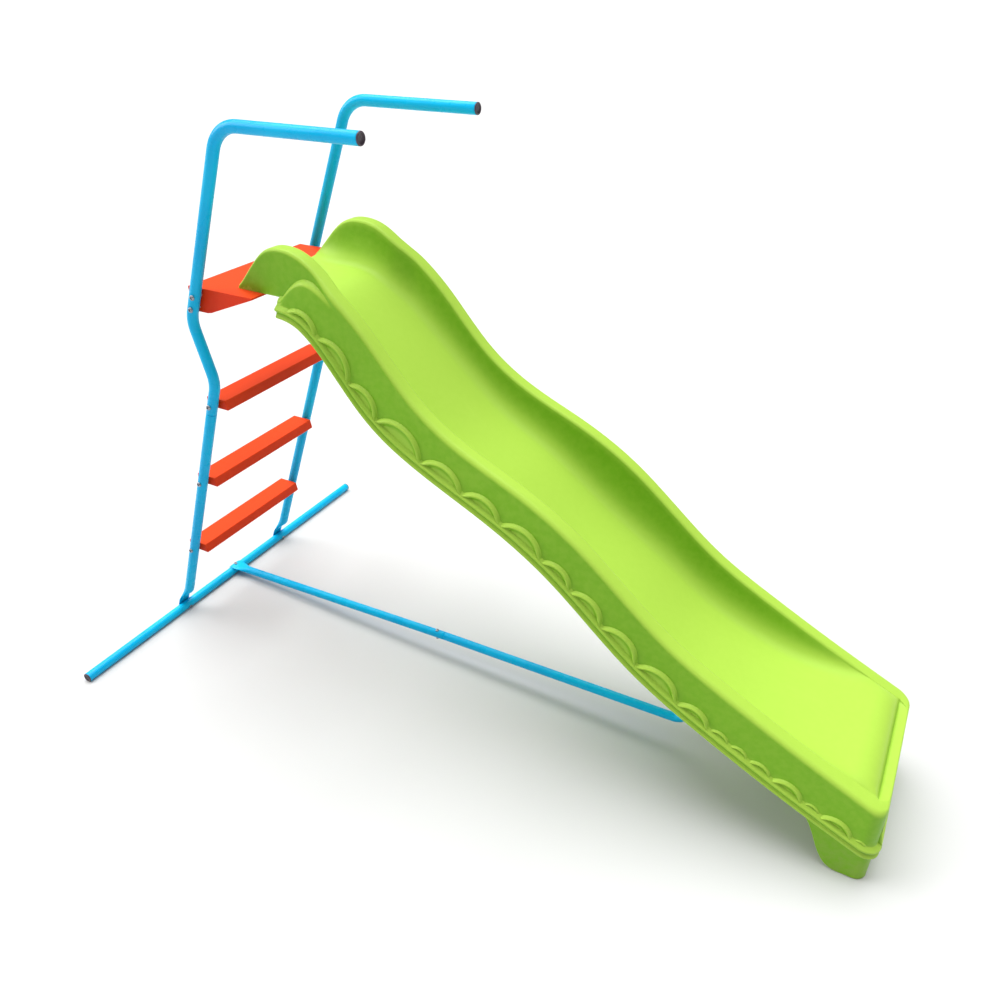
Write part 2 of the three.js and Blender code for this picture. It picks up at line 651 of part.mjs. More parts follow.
// The same skin moved inwards by the shell's thickness.
function lowerSkin(points, thickness) {
  return points.map((point, i) => {
    const before = points[Math.max(i - 1, 0)];
    const after = points[Math.min(i + 1, points.length - 1)];
    const run = [after[0] - before[0], after[1] - before[1]];
    const length = Math.hypot(run[0], run[1]);
    const isMiddle = i === points.length - 1;
    const isFoot = i === 0;
    if (isMiddle) return [point[0], point[1] - thickness];
    if (isFoot) return [point[0] - thickness, point[1]];
    return [point[0] - (run[1] / length) * thickness, point[1] + (run[0] / length) * thickness];
  });
}

// A closed [y, z] section of the whole shell at x, with a solid bead along its lower edge.
function chuteSection(x) {
  const upper = upperSkin(x);
  const lower = lowerSkin(upper, CHUTE.shell);
  const [footY, footZ] = upper[0];
  const bead = [
    [footY, footZ - 1], [footY + CHUTE.bead, footZ + 1],
    [footY + CHUTE.bead, footZ + CHUTE.beadHeight - 9], [footY - 0.3, footZ + CHUTE.beadHeight],
  ];
  const right = [...bead, ...upper.slice(1)];
  const mirror = (points) => points.slice(0, -1).reverse().map(([y, z]) => [-y, z]);
  const top = [...right, ...mirror(right)];
  const underside = [...lower, ...mirror(lower)];
  return [...top, ...underside.reverse()];
}

function loftSections(stations, sectionAt) {
  const sections = stations.map(sectionAt);
  const count = sections[0].length;
  const points = [];
  const indices = [];
  sections.forEach((section, i) => {
    for (const [y, z] of section) points.push(stations[i], y, z);
    if (i > 0) ringStrip(indices, (i - 1) * count, i * count, count, false);
  });
  const capOf = (section) => {
    const outline = section.map(([y, z]) => new THREE.Vector2(y, z));
    return THREE.ShapeUtils.triangulateShape(outline, []);
  };
  const lastRing = (stations.length - 1) * count;
  for (const [a, b, c] of capOf(sections[0])) indices.push(a, c, b);
  for (const [a, b, c] of capOf(sections[stations.length - 1])) {
    indices.push(lastRing + a, lastRing + b, lastRing + c);
  }
  const geometry = new THREE.BufferGeometry();
  geometry.setAttribute('position', new THREE.Float32BufferAttribute(points, 3));
  geometry.setIndex(indices);
  return geometry;
}

function chuteStations() {
  const stations = [];
  const bodySteps = 46;
  for (let k = 0; k <= bodySteps; k++) {
    stations.push(THREE.MathUtils.lerp(CHUTE.start, CHUTE.cornerStart, k / bodySteps));
  }
  for (const degrees of [30, 55, 72, 86]) {
    const reach = Math.sin(THREE.MathUtils.degToRad(degrees));
    stations.push(CHUTE.cornerStart + CHUTE.cornerRadius * reach);
  }
  return stations;
}

// The exit apron: a wall round the exit end that reaches the ground, cut to the outline
// of the foot at its sides.
function makeApron() {
  const inner = CHUTE.halfWidth - EXIT_FOOT.inset - EXIT_FOOT.wall;
  const outer = CHUTE.halfWidth - EXIT_FOOT.inset;
  const rimEnd = CHUTE.end - 1;
  const planOutline = (half, end, radius) => {
    const shape = new THREE.Shape();
    shape.moveTo(EXIT_FOOT.start - EXIT_FOOT.skirtOverlap, -half);
    shape.lineTo(end - radius, -half);
    shape.absarc(end - radius, -half + radius, radius, -Math.PI / 2, 0, false);
    shape.lineTo(end, half - radius);
    shape.absarc(end - radius, half - radius, radius, 0, Math.PI / 2, false);
    shape.lineTo(EXIT_FOOT.start - EXIT_FOOT.skirtOverlap, half);
    shape.closePath();
    return shape;
  };
  const options = { depth: EXIT_FOOT.topHeight, bevelEnabled: false, curveSegments: 6 };
  const cornerRadius = CHUTE.cornerRadius - EXIT_FOOT.inset;
  const outside = new THREE.ExtrudeGeometry(planOutline(outer, rimEnd, cornerRadius), options);
  const innerPlan = planOutline(inner, rimEnd - EXIT_FOOT.wall, cornerRadius - EXIT_FOOT.wall);
  const inside = new THREE.ExtrudeGeometry(innerPlan, { ...options, depth: EXIT_FOOT.topHeight + 40 });
  inside.translate(-1, 0, -20);
  const footOutline = new THREE.Shape();
  const { start, topHeight } = EXIT_FOOT;
  footOutline.moveTo(start, 160);
  footOutline.lineTo(start, 150);
  footOutline.bezierCurveTo(start + 32, 122, start + 42, 92, start + 54, 62);
  footOutline.bezierCurveTo(start + 66, 32, start + 80, 0, start + 108, 0);
  footOutline.lineTo(CHUTE.end, 0);
  footOutline.lineTo(CHUTE.end, topHeight);
  footOutline.lineTo(start + 90, topHeight);
  footOutline.closePath();
  const depth = 2 * CHUTE.halfWidth;
  const footBlock = new THREE.ExtrudeGeometry(footOutline, { ...options, depth });
  footBlock.translate(0, 0, -depth / 2).rotateX(Math.PI / 2);
  return toSolid(outside).subtract(toSolid(inside)).intersect(toSolid(footBlock));
}

function makeChute() {
  const shell = toSolid(loftSections(chuteStations(), chuteSection));
  const underLip = new THREE.BoxGeometry(CHUTE.skirtStart - CHUTE.start + 20, 420, 100);
  underLip.translate((CHUTE.start + CHUTE.skirtStart - 20) / 2, 0, LIP_TOP - CHUTE.shell - 50);
  let solid = shell.subtract(toSolid(underLip)).add(makeApron());
  const lugStart = BRACE_ELBOW[0] - LUG.halfLength;
  const lugEnd = BRACE_ELBOW[0] + LUG.halfLength;
  for (const sign of [1, -1]) {
    const lug = acrossSlide([
      [lugStart, BRACE_TOP - 14], [lugEnd, BRACE_TOP - 14],
      [lugEnd, bedHeight(lugEnd) - 2], [lugStart, bedHeight(lugStart) - 2],
    ], LUG.thickness / 2);
    lug.translate(0, sign * (LUG.halfGap + LUG.thickness / 2), 0);
    solid = solid.add(toSolid(lug));
  }
  const upward = new THREE.Vector3(0, 0, 1);
  for (const sign of [1, -1]) {
    const place = new THREE.Vector3(LIP_BOLT.x, sign * LIP_BOLT.y, LIP_TOP);
    solid = solid.subtract(toSolid(drill(M6, place, upward, 30)));
  }
  const lugBolt = new THREE.Vector3(BRACE_ELBOW[0], 0, BRACE_TOP);
  solid = solid.subtract(toSolid(drill(M5, lugBolt, new THREE.Vector3(0, 1, 0), 60)));
  add('chute', toGeometry(solid), LIME_PLASTIC);
}

makeChute();

for (const [side, sign] of SIDES) {
  const downward = new THREE.Vector3(0, 0, -1);
  const x = LIP_BOLT.x;
  const head = new THREE.Vector3(x, sign * LIP_BOLT.y, LIP_TOP + GAP);
  const nutSeat = new THREE.Vector3(x, sign * LIP_BOLT.y, PLATFORM.top - PLATFORM.wall - GAP);
  bolt(`lip_bolt_${side}`, M6, head, downward, CHUTE.shell + PLATFORM.wall + 10);
  nut(`lip_nut_${side}`, M6, nutSeat, downward);
}

// ---------------------------------------------------------------- place the origin

const extent = new THREE.Box3().setFromObject(group);
group.position.x = -(extent.min.x + extent.max.x) / 2;
group.updateMatrixWorld(true);

export default group;
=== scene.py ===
"""Looks of the garden wave slide: the camera, the visible pieces, their materials and the light.

Lengths are written in millimetres, as in the CAD model: x from the foot of the ladder towards
the exit, y across the slide and z above the ground. place() turns them into the frame's metres.
"""

import math

import bpy
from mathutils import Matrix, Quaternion, Vector


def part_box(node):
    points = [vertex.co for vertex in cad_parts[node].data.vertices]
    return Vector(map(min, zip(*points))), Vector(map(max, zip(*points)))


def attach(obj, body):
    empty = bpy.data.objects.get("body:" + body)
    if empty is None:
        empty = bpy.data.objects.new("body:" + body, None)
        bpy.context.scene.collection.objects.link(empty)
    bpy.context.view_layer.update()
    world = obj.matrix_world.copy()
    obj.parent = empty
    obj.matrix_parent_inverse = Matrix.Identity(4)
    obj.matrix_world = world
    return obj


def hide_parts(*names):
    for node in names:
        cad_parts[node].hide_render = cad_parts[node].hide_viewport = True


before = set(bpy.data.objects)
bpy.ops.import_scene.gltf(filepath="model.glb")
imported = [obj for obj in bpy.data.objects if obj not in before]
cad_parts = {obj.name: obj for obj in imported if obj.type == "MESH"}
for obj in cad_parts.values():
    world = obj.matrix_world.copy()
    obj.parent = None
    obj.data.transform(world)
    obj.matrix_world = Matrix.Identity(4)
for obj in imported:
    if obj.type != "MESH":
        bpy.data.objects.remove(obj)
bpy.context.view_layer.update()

bar_low, bar_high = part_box("base_bar")
FOOT_X = (bar_low.x + bar_high.x) / 2
GAP = 0.3
SIDES = [("left", 1), ("right", -1)]


def place(x, y, z):
    return Vector((FOOT_X + x / 1000, y / 1000, z / 1000))


# ---------------------------------------------------------------- camera

def make_camera():
    azimuth = math.radians(29.1)
    elevation = math.radians(32.1)
    roll = math.radians(-0.37)
    data = bpy.data.cameras.new("camera")
    data.sensor_width = 36
    data.lens = 30.78
    data.clip_end = 500
    camera = bpy.data.objects.new("camera", data)
    bpy.context.scene.collection.objects.link(camera)
    backward = Vector((
        math.sin(azimuth) * math.cos(elevation),
        -math.cos(azimuth) * math.cos(elevation),
        math.sin(elevation),
    ))
    aim = backward.to_track_quat("Z", "Y") @ Quaternion((0, 0, 1), roll)
    camera.rotation_euler = aim.to_euler()
    camera.location = (0.8183, -1.4597, 1.5828)
    bpy.context.scene.camera = camera


make_camera()


# ---------------------------------------------------------------- curves

def mix(a, b, share):
    return a + (b - a) * share


def smooth_step(value, low, high):
    t = min(max((value - low) / (high - low), 0), 1)
    return t * t * (3 - 2 * t)


def spread(low, high, count):
    """`count` + 1 even values from low to high."""
    return [mix(low, high, k / count) for k in range(count + 1)]


def smooth_curve(knots):
    """A natural cubic spline through (x, z) knots, as a function of x."""
    count = len(knots)
    curvature = [0.0] * count
    upper = [0.0] * count
    for i in range(1, count - 1):
        before = knots[i][0] - knots[i - 1][0]
        after = knots[i + 1][0] - knots[i][0]
        rise = (knots[i + 1][1] - knots[i][1]) / after
        last_rise = (knots[i][1] - knots[i - 1][1]) / before
        pivot = 2 * (before + after) - before * upper[i - 1]
        upper[i] = after / pivot
        curvature[i] = (6 * (rise - last_rise) - before * curvature[i - 1]) / pivot
    for i in range(count - 2, 0, -1):
        curvature[i] -= upper[i] * curvature[i + 1]

    def height(x):
        i = 0
        while i < count - 2 and x > knots[i + 1][0]:
            i += 1
        span = knots[i + 1][0] - knots[i][0]
        a = (knots[i + 1][0] - x) / span
        b = 1 - a
        bend = (a ** 3 - a) * curvature[i] + (b ** 3 - b) * curvature[i + 1]
        return a * knots[i][1] + b * knots[i + 1][1] + bend * span * span / 6

    return height


def arc(centre, radius, start, stop, steps):
    """Points on an arc in a plane, with the angles in degrees."""
    angles = [math.radians(a) for a in spread(start, stop, steps)]
    return [(centre[0] + radius * math.cos(a), centre[1] + radius * math.sin(a)) for a in angles]


def rounded_route(corners, radius, steps):
    """(x, z) corners joined by straights and arcs."""
    route = [Vector(corners[0])]
    for last, corner, following in zip(corners, corners[1:], corners[2:]):
        corner = Vector(corner)
        back = (Vector(last) - corner).normalized()
        ahead = (Vector(following) - corner).normalized()
        half_angle = math.acos(back.dot(ahead)) / 2
        to_tangent = radius / math.tan(half_angle)
        centre = corner + (back + ahead).normalized() * (radius / math.sin(half_angle))
        start = corner + back * to_tangent - centre
        stop = corner + ahead * to_tangent - centre
        for share in spread(0, 1, steps):
            route.append(centre + start.slerp(stop, share) * radius)
    route.append(Vector(corners[-1]))
    return route


def directions(route):
    result = []
    for i in range(len(route)):
        before = route[max(i - 1, 0)]
        after = route[min(i + 1, len(route) - 1)]
        into = (route[i] - before).normalized() if i > 0 else Vector((0, 0))
        out = (after - route[i]).normalized() if i < len(route) - 1 else Vector((0, 0))
        result.append((into + out).normalized())
    return result


# ---------------------------------------------------------------- materials

class Shader:
    """A node material made step by step."""

    def __init__(self, name, roughness, **constants):
        self.material = bpy.data.materials.new(name)
        self.material.use_nodes = True
        self.tree = self.material.node_tree
        self.principled = self.tree.nodes["Principled BSDF"]
        self.principled.inputs["Roughness"].default_value = roughness
        for socket, value in constants.items():
            self.principled.inputs[socket.replace("_", " ")].default_value = value
        self.position = self.node("ShaderNodeTexCoord").outputs["Object"]

    def node(self, kind, **settings):
        made = self.tree.nodes.new(kind)
        for name, value in settings.items():
            setattr(made, name, value)
        return made

    def link(self, source, target):
        self.tree.links.new(source, target)

    def noise(self, scale, detail=3.0, stretch=(1, 1, 1)):
        mapping = self.node("ShaderNodeMapping")
        mapping.inputs["Scale"].default_value = stretch
        self.link(self.position, mapping.inputs["Vector"])
        texture = self.node("ShaderNodeTexNoise")
        texture.inputs["Scale"].default_value = scale
        texture.inputs["Detail"].default_value = detail
        self.link(mapping.outputs["Vector"], texture.inputs["Vector"])
        return texture.outputs["Fac"]

    def ramp(self, source, low, high, low_value=0.0, high_value=1.0):
        """Maps source from low..high to low_value..high_value, smoothly."""
        made = self.node("ShaderNodeMapRange", interpolation_type="SMOOTHSTEP")
        made.inputs["From Min"].default_value = low
        made.inputs["From Max"].default_value = high
        made.inputs["To Min"].default_value = low_value
        made.inputs["To Max"].default_value = high_value
        self.link(source, made.inputs["Value"])
        return made.outputs["Result"]

    def blend(self, share, first, second):
        """Mixes two colours; each is a socket or an (r, g, b) triple."""
        made = self.node("ShaderNodeMix", data_type="RGBA")
        self.link(share, made.inputs["Factor"])
        for colour, name in ((first, "A"), (second, "B")):
            socket = [s for s in made.inputs if s.name == name and s.type == "RGBA"][0]
            if isinstance(colour, tuple):
                socket.default_value = (*colour, 1)
            else:
                self.link(colour, socket)
        return [s for s in made.outputs if s.type == "RGBA"][0]

    def math(self, operation, first, second):
        made = self.node("ShaderNodeMath", operation=operation)
        for value, socket in zip((first, second), made.inputs):
            if isinstance(value, float):
                socket.default_value = value
            else:
                self.link(value, socket)
        return made.outputs["Value"]

    def height_above_ground(self):
        split = self.node("ShaderNodeSeparateXYZ")
        self.link(self.position, split.inputs["Vector"])
        return split.outputs["Z"]

    def facing_up(self):
        """0 on walls and undersides, 1 on faces that look at the sky."""
        split = self.node("ShaderNodeSeparateXYZ")
        self.link(self.node("ShaderNodeNewGeometry").outputs["Normal"], split.inputs["Vector"])
        return self.ramp(split.outputs["Z"], 0.02, 0.6)

    def edges(self, low, high):
        """1 on convex edges, 0 on flat faces."""
        return self.ramp(self.node("ShaderNodeNewGeometry").outputs["Pointiness"], low, high)

    def colour(self, source):
        self.link(source, self.principled.inputs["Base Color"])

    def roughness(self, source):
        self.link(source, self.principled.inputs["Roughness"])

    def bump(self, layers):
        """Stacks (height socket, strength, distance in metres) layers."""
        normal = None
        for height, strength, distance in layers:
            made = self.node("ShaderNodeBump")
            made.inputs["Strength"].default_value = strength
            made.inputs["Distance"].default_value = distance
            self.link(height, made.inputs["Height"])
            if normal:
                self.link(normal, made.inputs["Normal"])
            normal = made.outputs["Normal"]
        self.link(normal, self.principled.inputs["Normal"])


def moulded_plastic(name, body, pale, dusty, roughness):
    """Rotational-moulded plastic: slow tint drift, fine grain, scuff streaks, convex edges lightened as
    partly wear and partly painted highlight, a painted sunlit paleness on faces that look up, dust near
    the ground.
    """
    shader = Shader(name, roughness, Specular_IOR_Level=0.12)
    drift = shader.ramp(shader.noise(2.6, 2), 0.35, 0.65)
    mottle = shader.ramp(shader.noise(70, 4), 0.3, 0.7)
    scuffs = shader.ramp(shader.noise(26, 5, stretch=(0.18, 1.6, 0.18)), 0.6, 0.78)
    deep = tuple(0.93 * c for c in body)
    tint = shader.blend(drift, deep, body)
    tint = shader.blend(shader.math("MULTIPLY", mottle, 0.13), tint, pale)
    tint = shader.blend(shader.math("MULTIPLY", scuffs, 0.16), tint, pale)
    # Convex edges such as the rims, the bead and the scallop ridges are lightened towards the pale tint:
    # partly edge wear, partly a painted highlight.
    tint = shader.blend(shader.math("MULTIPLY", shader.edges(0.503, 0.54), 0.55), tint, pale)
    # Faces that look up are blended three quarters of the way to the pale tint: a painted sunlit paleness
    # on the tops.
    tint = shader.blend(shader.math("MULTIPLY", shader.facing_up(), 0.75), tint, pale)
    dust = shader.math("MULTIPLY", shader.ramp(shader.height_above_ground(), 0.16, 0.0), mottle)
    tint = shader.blend(shader.math("MULTIPLY", dust, 0.35), tint, dusty)
    shader.colour(tint)
    gloss = shader.math("MULTIPLY_ADD", scuffs, 0.12)
    gloss.node.inputs[2].default_value = roughness - 0.03
    shader.roughness(gloss)
    shader.bump([
        (shader.noise(900, 2), 0.12, 0.0004),
        (shader.noise(45, 3), 0.1, 0.0012),
    ])
    return shader.material


def painted_steel(name, body, deep, pale):
    """Sprayed gloss paint over steel tube, with faint orange peel and rubbed spots."""
    shader = Shader(name, 0.3, Specular_IOR_Level=0.15, Coat_Weight=0.08, Coat_Roughness=0.12)
    drift = shader.ramp(shader.noise(5, 3), 0.35, 0.65)
    flecks = shader.ramp(shader.noise(420, 3), 0.55, 0.75)
    rubbed = shader.ramp(shader.noise(38, 5), 0.66, 0.74)
    tint = shader.blend(drift, deep, body)
    tint = shader.blend(shader.math("MULTIPLY", flecks, 0.18), tint, pale)
    tint = shader.blend(shader.math("MULTIPLY", rubbed, 0.25), tint, pale)
    shader.colour(tint)
    shader.roughness(shader.ramp(shader.noise(30, 4), 0.3, 0.7, 0.22, 0.36))
    shader.bump([(shader.noise(260, 2), 0.06, 0.0005)])
    return shader.material


def black_plastic(name):
    shader = Shader(name, 0.4, Specular_IOR_Level=0.5)
    grain = shader.ramp(shader.noise(350, 4), 0.35, 0.65)
    tint = shader.blend(grain, (0.012, 0.006, 0.012), (0.035, 0.018, 0.032))
    # Convex edges, above all the plug's rounded rim, are lightened to a purplish grey: a painted sheen.
    shader.colour(shader.blend(shader.edges(0.5, 0.56), tint, (0.07, 0.045, 0.065)))
    shader.roughness(shader.ramp(shader.noise(60, 3), 0.3, 0.7, 0.32, 0.5))
    shader.bump([(grain, 0.15, 0.0003)])
    return shader.material


def zinc_steel(name):
    shader = Shader(name, 0.3, Metallic=1.0)
    spangle = shader.ramp(shader.noise(240, 4), 0.3, 0.7)
    shader.colour(shader.blend(spangle, (0.20, 0.21, 0.25), (0.42, 0.43, 0.46)))
    shader.roughness(shader.ramp(shader.noise(500, 3), 0.3, 0.7, 0.22, 0.42))
    shader.bump([(shader.noise(700, 2, stretch=(1, 1, 6)), 0.12, 0.0002)])
    return shader.material


# Each plastic's pale tint is also its painted sunlit colour on faces that look up and its painted
# highlight on convex edges.
MATERIALS = {
    "lime_plastic": moulded_plastic(
        "lime_moulded_plastic", (0.195, 0.45, 0.018), (0.44, 0.66, 0.085), (0.24, 0.34, 0.09), 0.38),
    "orange_plastic": moulded_plastic(
        "orange_moulded_plastic", (0.72, 0.012, 0.002), (0.80, 0.066, 0.009), (0.45, 0.07, 0.03), 0.45),
    "blue_paint": painted_steel(
        "sky_blue_paint", (0.001, 0.50, 0.84), (0.001, 0.42, 0.78), (0.005, 0.58, 0.86)),
    "black_plastic": black_plastic("black_plug_plastic"),
    "zinc_steel": zinc_steel("zinc_plated_steel"),
}


# ---------------------------------------------------------------- meshes

def add_piece(name, slot, points, faces, replaced=(), sharp=40):
    """A smooth-shaded mesh with its material and body. `points` are in metres."""
    mesh = bpy.data.meshes.new(name)
    mesh.from_pydata(points, [], faces)
    mesh.validate()
    mesh.polygons.foreach_set("use_smooth", [True] * len(mesh.polygons))
    mesh.set_sharp_from_angle(angle=math.radians(sharp))
    piece = bpy.data.objects.new(name, mesh)
    bpy.context.scene.collection.objects.link(piece)
    mesh.materials.append(MATERIALS[slot])
    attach(piece, "root")
    if replaced:
        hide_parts(*replaced)
    return piece


def join_rings(first, second, count):
    """Faces between two rings of points; each ring is given by its first index."""
    return [
        (first + k, first + (k + 1) % count, second + (k + 1) % count, second + k)
        for k in range(count)
    ]


def loft(rings):
    """A closed body through rings with equal counts, capped at both ends."""
    count = len(rings[0])
    points = [point for ring in rings for point in ring]
    faces = []
    for i in range(len(rings) - 1):
        faces += join_rings(i * count, (i + 1) * count, count)
    faces.append(tuple(reversed(range(count))))
    last = (len(rings) - 1) * count
    faces.append(tuple(range(last, last + count)))
    return points, faces


def merged(shapes):
    """Several (points, faces) shapes as one."""
    points = []
    faces = []
    for more_points, more_faces in shapes:
        start = len(points)
        points += more_points
        faces += [tuple(start + index for index in face) for face in more_faces]
    return points, faces


TUBE_SIDES = 40


def tube_ring(x, z, y, along, half_y, half_n):
    """An oval ring of a tube that runs along (x, z) direction `along` in a plane y."""
    normal = Vector((-along[1], along[0])).normalized()
    ring = []
    for k in range(TUBE_SIDES):
        angle = 2 * math.pi * k / TUBE_SIDES
        side = half_n * math.sin(angle)
        ring.append(place(x + side * normal.x, y + half_y * math.cos(angle), z + side * normal.y))
    return ring


END_ROUND = 1.2  # how far a cut tube end is rounded


def round_tube_rings(route, y, radius):
    """Rings of a round tube with softened ends."""
    rings = []
    headings = directions(route)
    for share in spread(0, 90, 4):
        back = END_ROUND * (1 - math.sin(math.radians(share)))
        point = route[0] + headings[0] * (END_ROUND - back)
        inset = END_ROUND * (1 - math.cos(math.radians(90 - share)))
        rings.append(tube_ring(point.x, point.y, y, headings[0], radius - inset, radius - inset))
    for point, heading in list(zip(route, headings))[1:-1]:
        rings.append(tube_ring(point.x, point.y, y, heading, radius, radius))
    for share in spread(90, 0, 4):
        back = END_ROUND * (1 - math.sin(math.radians(share)))
        point = route[-1] - headings[-1] * (END_ROUND - back)
        inset = END_ROUND * (1 - math.cos(math.radians(90 - share)))
        rings.append(tube_ring(point.x, point.y, y, headings[-1], radius - inset, radius - inset))
    return rings


def lathe(profile, seat, direction, sides=36):
    """A turned shape: (radius, height) points along `direction` from the seat."""
    turn = Vector((0, 0, 1)).rotation_difference(direction.normalized())
    rings = []
    for radius, height in profile:
        ring = []
        for k in range(sides):
            angle = 2 * math.pi * k / sides
            local = Vector((radius * math.cos(angle), radius * math.sin(angle), height))
            ring.append(seat + (turn @ local) / 1000)
        rings.append(ring)
    return loft(rings)


# ---------------------------------------------------------------- ladder tubes

UPRIGHT_RADIUS = 12.7
UPRIGHT_OFFSET = 200
BAR = {"radius": 12, "half_length": 545}
FOOT = (0, 12)
LOWER_BEND = (297, 772)
UPPER_BEND = (262, 917)
RAIL_BEND = (437, 1330)
RAIL_END = (771, 1330)
BEND_RADIUS = 75
TUBE_JOINT_HEIGHT = 689
LEAN = (Vector(LOWER_BEND) - Vector(FOOT)).normalized()
PLATE_NORMAL = Vector((-LEAN.y, 0, LEAN.x))


def upright_axis(z):
    """The (x, z) point of the straight lower upright at height z."""
    return Vector(FOOT) + LEAN * ((z - FOOT[1]) / LEAN.y)


FOOT_PLATE = {"half_width": 19.5, "half_thickness": 1.9, "flat_until": 18, "round_from": 75, "end": -11}
FOOT_PLATE_OFFSET = BAR["radius"] + GAP + FOOT_PLATE["half_thickness"]
PLATE_END_ROUND = 14


def lower_upright_ring(travel, y):
    """A ring of the lower upright: a flat plate on the base bar that opens into a round tube."""
    share = smooth_step(travel, FOOT_PLATE["flat_until"], FOOT_PLATE["round_from"])
    half_y = mix(FOOT_PLATE["half_width"], UPRIGHT_RADIUS, share)
    half_n = mix(FOOT_PLATE["half_thickness"], UPRIGHT_RADIUS, share)
    into_end = max(0, PLATE_END_ROUND - (travel - FOOT_PLATE["end"])) / PLATE_END_ROUND
    half_y *= mix(0.45, 1, math.sqrt(1 - into_end ** 2))
    offset = FOOT_PLATE_OFFSET * (1 - share)
    x = FOOT[0] + travel * LEAN.x - offset * LEAN.y
    z = FOOT[1] + travel * LEAN.y + offset * LEAN.x
    return tube_ring(x, z, y, LEAN, half_y, half_n)


def make_uprights():
    joint = upright_axis(TUBE_JOINT_HEIGHT)
    joint_travel = (TUBE_JOINT_HEIGHT - FOOT[1]) / LEAN.y - GAP
    corners = [tuple(joint), LOWER_BEND, UPPER_BEND, RAIL_BEND, RAIL_END]
    route = rounded_route(corners, BEND_RADIUS, 14)
    for side, sign in SIDES:
        y = sign * UPRIGHT_OFFSET
        rings = round_tube_rings(route, y, UPRIGHT_RADIUS)
        add_piece(f"visual_upper_upright_{side}", "blue_paint", *loft(rings), [f"upper_upright_{side}"])

        travels = spread(FOOT_PLATE["end"], FOOT_PLATE["end"] + PLATE_END_ROUND, 8)
        travels += spread(FOOT_PLATE["flat_until"], FOOT_PLATE["round_from"] + 5, 24)
        travels += spread(150, joint_travel - END_ROUND, 6)
        rings = [lower_upright_ring(travel, y) for travel in travels]
        for degrees in (30, 60, 90):
            reach = END_ROUND * math.sin(math.radians(degrees))
            inset = END_ROUND * (1 - math.cos(math.radians(degrees)))
            end = Vector(FOOT) + LEAN * (joint_travel - END_ROUND + reach)
            rings.append(tube_ring(end.x, end.y, y, LEAN, UPRIGHT_RADIUS - inset, UPRIGHT_RADIUS - inset))
        add_piece(f"visual_lower_upright_{side}", "blue_paint", *loft(rings), [f"lower_upright_{side}"])


make_uprights()


def make_base_bar():
    profile = [(BAR["radius"] - END_ROUND, 0), (BAR["radius"] - 0.35, 0.35), (BAR["radius"], END_ROUND)]
    length = 2 * BAR["half_length"]
    far = [(radius, length - height) for radius, height in reversed(profile)]
    middle = [(BAR["radius"], height) for height in spread(60, length - 60, 16)]
    start = place(FOOT[0], -BAR["half_length"], FOOT[1])
    shape = lathe(profile + middle + far, start, Vector((0, 1, 0)), TUBE_SIDES)
    add_piece("visual_base_bar", "blue_paint", *shape, ["base_bar"])


make_base_bar()

BRACE_RADIUS = 11
BRACE_JOINT = (758, 52)
BRACE_ELBOW = (1429, 68)
BRACE_TOP = 298
ELBOW_RADIUS = 35
SADDLE = {"half_width": 20, "half_thickness": 1.6}
SADDLE_RADIUS = BAR["radius"] + GAP + SADDLE["half_thickness"]
BRACE_START = (64, 22)
BRACE_SLOPE = (BRACE_JOINT[1] - BRACE_START[1]) / (BRACE_JOINT[0] - BRACE_START[0])
BRACE_HEADING = Vector((1, BRACE_SLOPE)).normalized()
BRACE_BOLT_BACK = 24  # from the joint back along the rear tube
LUG_OUTER = 6.8  # half the distance over the two lugs


def make_rear_brace():
    """The rear brace tube: a pressed saddle over the base bar, then a round tube."""
    rings = []
    for degrees in spread(150, 72, 14):
        angle = math.radians(degrees)
        x = FOOT[0] + SADDLE_RADIUS * math.cos(angle)
        z = FOOT[1] + SADDLE_RADIUS * math.sin(angle)
        along = (math.sin(angle), -math.cos(angle))
        into_end = max(0, (degrees - 125) / 25)
        half_y = SADDLE["half_width"] * mix(0.7, 1, math.sqrt(max(0, 1 - into_end ** 2)))
        rings.append(tube_ring(x, z, 0, along, half_y, SADDLE["half_thickness"]))
    for x in spread(12, BRACE_START[0], 13):
        share = smooth_step(x, 6, BRACE_START[0])
        half_y = mix(SADDLE["half_width"], BRACE_RADIUS, share)
        half_n = mix(SADDLE["half_thickness"], BRACE_RADIUS, share)
        flat_height = FOOT[1] + SADDLE_RADIUS - 1.2
        round_height = BRACE_START[1] + BRACE_SLOPE * (x - BRACE_START[0])
        height = mix(flat_height, round_height, share)
        rings.append(tube_ring(x, height, 0, (1, BRACE_SLOPE), half_y, half_n))
    for degrees in (0, 30, 60, 90):
        reach = END_ROUND * math.sin(math.radians(degrees)) - END_ROUND
        inset = END_ROUND * (1 - math.cos(math.radians(degrees)))
        end = Vector(BRACE_JOINT) + BRACE_HEADING * reach
        rings.append(tube_ring(end.x, end.y, 0, BRACE_HEADING, BRACE_RADIUS - inset, BRACE_RADIUS - inset))
    add_piece("visual_rear_brace_tube", "blue_paint", *loft(rings), ["rear_brace_tube"])


make_rear_brace()


def make_front_brace():
    """The front brace tube: an elbow, a riser and a pressed tongue between the chute's lugs."""
    press_start = (BRACE_ELBOW[0], BRACE_TOP - 60)
    shoulder = Vector(BRACE_JOINT) + BRACE_HEADING * GAP
    route = rounded_route([tuple(shoulder), BRACE_ELBOW, press_start], ELBOW_RADIUS, 14)
    rings = round_tube_rings(route, 0, BRACE_RADIUS)[:-5]
    for rise in spread(0, 72, 24):
        share = smooth_step(rise, 0, 42)
        half_y = mix(BRACE_RADIUS, 2.2, share)
        half_n = mix(BRACE_RADIUS, 15, share)
        into_end = max(0, rise - 58) / 14
        half_n *= math.sqrt(1 - 0.8 * into_end ** 2)
        rings.append(tube_ring(press_start[0], press_start[1] + rise, 0, (0, 1), half_y, half_n))
    add_piece("visual_front_brace_tube", "blue_paint", *loft(rings), ["front_brace_tube"])


make_front_brace()


# ---------------------------------------------------------------- plugs

